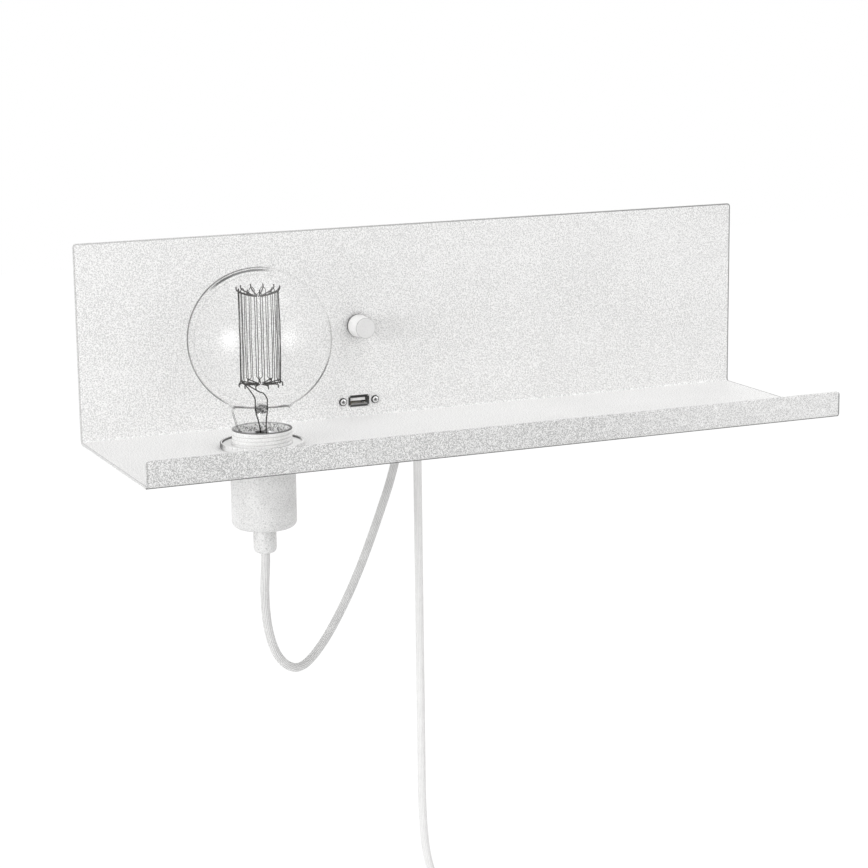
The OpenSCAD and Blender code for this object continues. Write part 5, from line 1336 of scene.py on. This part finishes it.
# %% Leads
LEAD_R, LEAD_SIDE = 0.42, (0.31, 0.95, 0.05)
UNDER_END = (0, 0, 0.2)
x, y = LAMP
lead_lines = [
    [(x - 1.2, y, -92), (x - 1.2, y, -83), (x - 2.2, y, -77), (x - 3.8, y, -71), (x - 4.2, y, -64.5),
     (x - 4.6, y, -60.5), (x - 8.7, y, -54.0), tuple(wire[0] - UNDER_END)],
    [(x + 3.0, y, -92), (x + 3.0, y, -83), (x + 3.2, y, -76), (x + 4.0, y, -71), (x + 4.2, y, -64.5),
     (x + 4.2, y, -62.0), (x + 2.6, y + 2.6, -58.6), (x, y + 3.6, -57.5), (x - 6.0, y + 4.0, -53.6),
     tuple(wire[-1] - UNDER_END)]]
leads = [tube_parts(through(line, 0.8)[0], LEAD_R, LEAD_SIDE, 8)[:2] for line in lead_lines]
points, faces = joined(leads)
dress(mesh_piece("bulb_leads", points * MM, faces), "bulb", "dark_wire", wire_metal, "lead_wires")

# %% [markdown]
# The screw cap is rolled from thin sheet, so its thread is round and shallow. A coil laid on a tube
# would leave a groove, but a rolled thread is a tube whose centre circles the axis as it rises, and
# that is one cosine. A black glass insulator and a metal contact close the foot. They are turned.

# %% Screw cap, insulator and contact
CAP_SIDES = 64


def cap_skin(sides, mean=12.65, swing=0.52, pitch=3.62, low=-106.7, high=-91.2):
    """Outside, the radius is the mean plus a swing times the cosine of the angle less the height
    in turns of the thread. Inside, a plain bore. The swing fades at the ends."""
    a = np.linspace(0, 2 * np.pi, sides, endpoint=False)[None]
    z = np.linspace(low, high, 73)[:, None]
    fade = np.clip((z - low) / 1.0, 0, 1) * np.clip((high - z) / 1.0, 0, 1)
    r = mean + swing * fade * np.cos(a - 2 * np.pi * z / pitch)
    thread = np.stack([r * np.cos(a), r * np.sin(a), np.broadcast_to(z, r.shape)], -1)
    below = [(8.85, -106.9), (8.85, -108.3), (9.2, -108.3), (11.7, -107.0)]
    above = [(13.0, -91.0), (13.0, -85.75), (12.8, -85.5), (11.85, -85.5), (11.7, -85.7), (11.7, -106.2),
             (8.85, -106.5)]
    return np.concatenate([lathe_points(below, sides), thread, lathe_points(above, sides)])


cap_points = cap_skin(CAP_SIDES)
cap = mesh_piece("cap_rolled", (cap_points + (*LAMP, 0)) * MM,
                 grid_faces(len(cap_points), CAP_SIDES, wrap_rows=True), crease=math.radians(55))
dress(cap, "bulb", "bright_metal", cap_metal, "bulb_cap")

insulator = [(0, -111.3), (5.2, -111.3), (5.7, -111.0), (7.0, -109.6), (8.5, -108.4), (8.7, -108.0),
             (8.7, -106.9), (8.4, -106.8), (0, -106.8)]
points = lathe_points(insulator, 48) + (*LAMP, 0)
foot = mesh_piece("insulator_glass", points * MM, grid_faces(len(insulator), 48))
dress(foot, "bulb", "black_glass", black_glass, "cap_insulator")

contact = [(0, -112.5), (2.4, -112.5), (3.6, -112.35), (4.4, -111.95), (4.8, -111.55), (4.8, -111.35),
           (0, -111.35)]
points = lathe_points(contact, 48) + (*LAMP, 0)
tip = mesh_piece("contact_tip", points * MM, grid_faces(len(contact), 48))
dress(tip, "bulb_contact", "bright_metal", nickel, "cap_tip")

# %% [markdown]
# ## Parts kept from the solids
# The frame behind the plate, its fasteners, and everything inside the box and the holder already
# have their true shape in the solids. Building them again would gain nothing, so they only get
# finishes. Each finish reads the piece's own Object coordinates, so its grain stays fixed to it.

# %% Finishes for the kept nodes
kept = {
    coat: ["rear_frame"],
    zinc: ["panel_studs", "stud_nuts", "wall_bracket", "lock_screws", "dimmer_nut", "dimmer_washer",
           "dimmer_shaft", "lid_screws", "terminal_screws", "clamp_screws", "holder_nipple", "nipple_nut",
           "core_screws", "grip_screw"],
    box_grey: ["dimmer_body", "electronics_box", "electronics_lid", "cord_clamp"],
    board_green: ["dimmer_board", "usb_board"],
    tie_black: ["dimmer_parts", "usb_supply_parts", "usb_carrier"],
    plug_white: ["terminal_block"],
    tongue_white: ["usb_tongue"],
    gilt: ["usb_contacts"],
    brass: ["screw_shell", "centre_contact"],
    shaded_ceramic: ["holder_core"],
    gland_white: ["cord_tails"],
    sheath_brown: ["inner_wires", "holder_tail"],
}
for finish, names in kept.items():
    for name in names:
        data = nodes[name].data
        if not data.materials:
            data.materials.append(finish)
        for i in range(len(data.materials)):
            data.materials[i] = finish
print(sum(len(names) for names in kept.values()), "nodes keep their solids")

# %% [markdown]
# ## Light and floor
# The lamp is shown in a white studio. A bright floor close under it would hide the shade of the
# folds, so the floor lies far below: it is pale and matt for the light that falls on the lamp, and
# plain white for a ray from the camera or one that comes off or through glass and metal. The world
# round it does the same. From below the floor is clear, so that a view from there still shows the
# lamp.

# %% World and floor
ROOM_LIGHT = 0.66
FLOOR_DEPTH, FLOOR_HALF = -0.80, 6.0
FLOOR_GLOW, GLOW_SHARE = 1.10, 0.82

world = bpy.data.worlds.new("white_room")
bpy.context.scene.world = world
world.use_nodes = True
room = Shading(world.node_tree)
background = room.own("BACKGROUND")
room.feed(background.inputs["Color"], grey(1.0))
room.feed(background.inputs["Strength"], room.node("ShaderNodeMapRange", None, {
    "Value": room.seen_directly(), "To Min": ROOM_LIGHT, "To Max": 1.0}))


def floor_finish():
    """White to the camera and in reflections, a pale matt floor to all other light, and nothing at
    all from below, so that a camera under the floor still sees the lamp."""
    f = Finish("studio_floor", Roughness=0.9)
    f.base(f.blend(f.noise(400), grey(0.88), grey(0.90)))
    glow = f.node("ShaderNodeEmission", None, {"Strength": FLOOR_GLOW})
    share = f.seen_directly() * GLOW_SHARE
    pale = f.node("ShaderNodeMixShader", None, {0: share, 1: f.principled(), 2: glow})
    from_below = f.node("ShaderNodeNewGeometry", output="Backfacing")
    clear = f.node("ShaderNodeBsdfTransparent")
    return f.show(f.node("ShaderNodeMixShader", None, {0: from_below, 1: pale, 2: clear})).material


corners = np.array([(-1, -1), (1, -1), (1, 1), (-1, 1)]) * FLOOR_HALF
floor = mesh_piece("studio_floor", np.column_stack([corners, np.full(4, FLOOR_DEPTH)]), [[0, 1, 2, 3]])
floor.data.materials.append(floor_finish())
print("floor", -FLOOR_DEPTH, "m under the middle of the lamp")

# %% [markdown]
# Four lamps with wide faces light the scene softly. Small ones would throw hard shadows. The first
# stands on the left, as far round from the camera as a window beside it would be, and gives the
# globe its highlight. The others stand in front, above and behind.

# %% Lamps
WINDOW_ANGLE, WINDOW_FAR = math.radians(45), 2.0
CENTRE = (0.0, -0.09, -0.05)


def soft_lamp(name, place, target, size, watts, shape="SQUARE"):
    """A lamp with a wide face at a place, turned to a target, in metres."""
    data = bpy.data.lights.new(name, "AREA")
    data.shape = shape
    data.size = size
    data.energy = watts
    made = bpy.data.objects.new(name, data)
    aim = Vector(np.array(target) - np.array(place))
    made.matrix_world = Matrix.Translation(Vector(place)) @ aim.to_track_quat("-Z", "Y").to_matrix().to_4x4()
    bpy.context.scene.collection.objects.link(made)
    print(name, "of", watts, "W")


globe_centre = np.array([*LAMP, GLOBE_Z]) * MM
to_eye = (EYE - globe_centre) / np.linalg.norm(EYE - globe_centre)
beside_camera = math.cos(WINDOW_ANGLE) * to_eye - math.sin(WINDOW_ANGLE) * camera_right
soft_lamp("window_lamp", globe_centre + WINDOW_FAR * beside_camera, globe_centre, 0.84, 16, shape="DISK")
soft_lamp("front_lamp", (1.5, -1.9, 0.7), CENTRE, 1.8, 10)
soft_lamp("top_lamp", (0.3, -0.5, 2.2), CENTRE, 1.8, 18)
soft_lamp("back_lamp", (0.9, 2.2, 1.2), CENTRE, 1.8, 10)
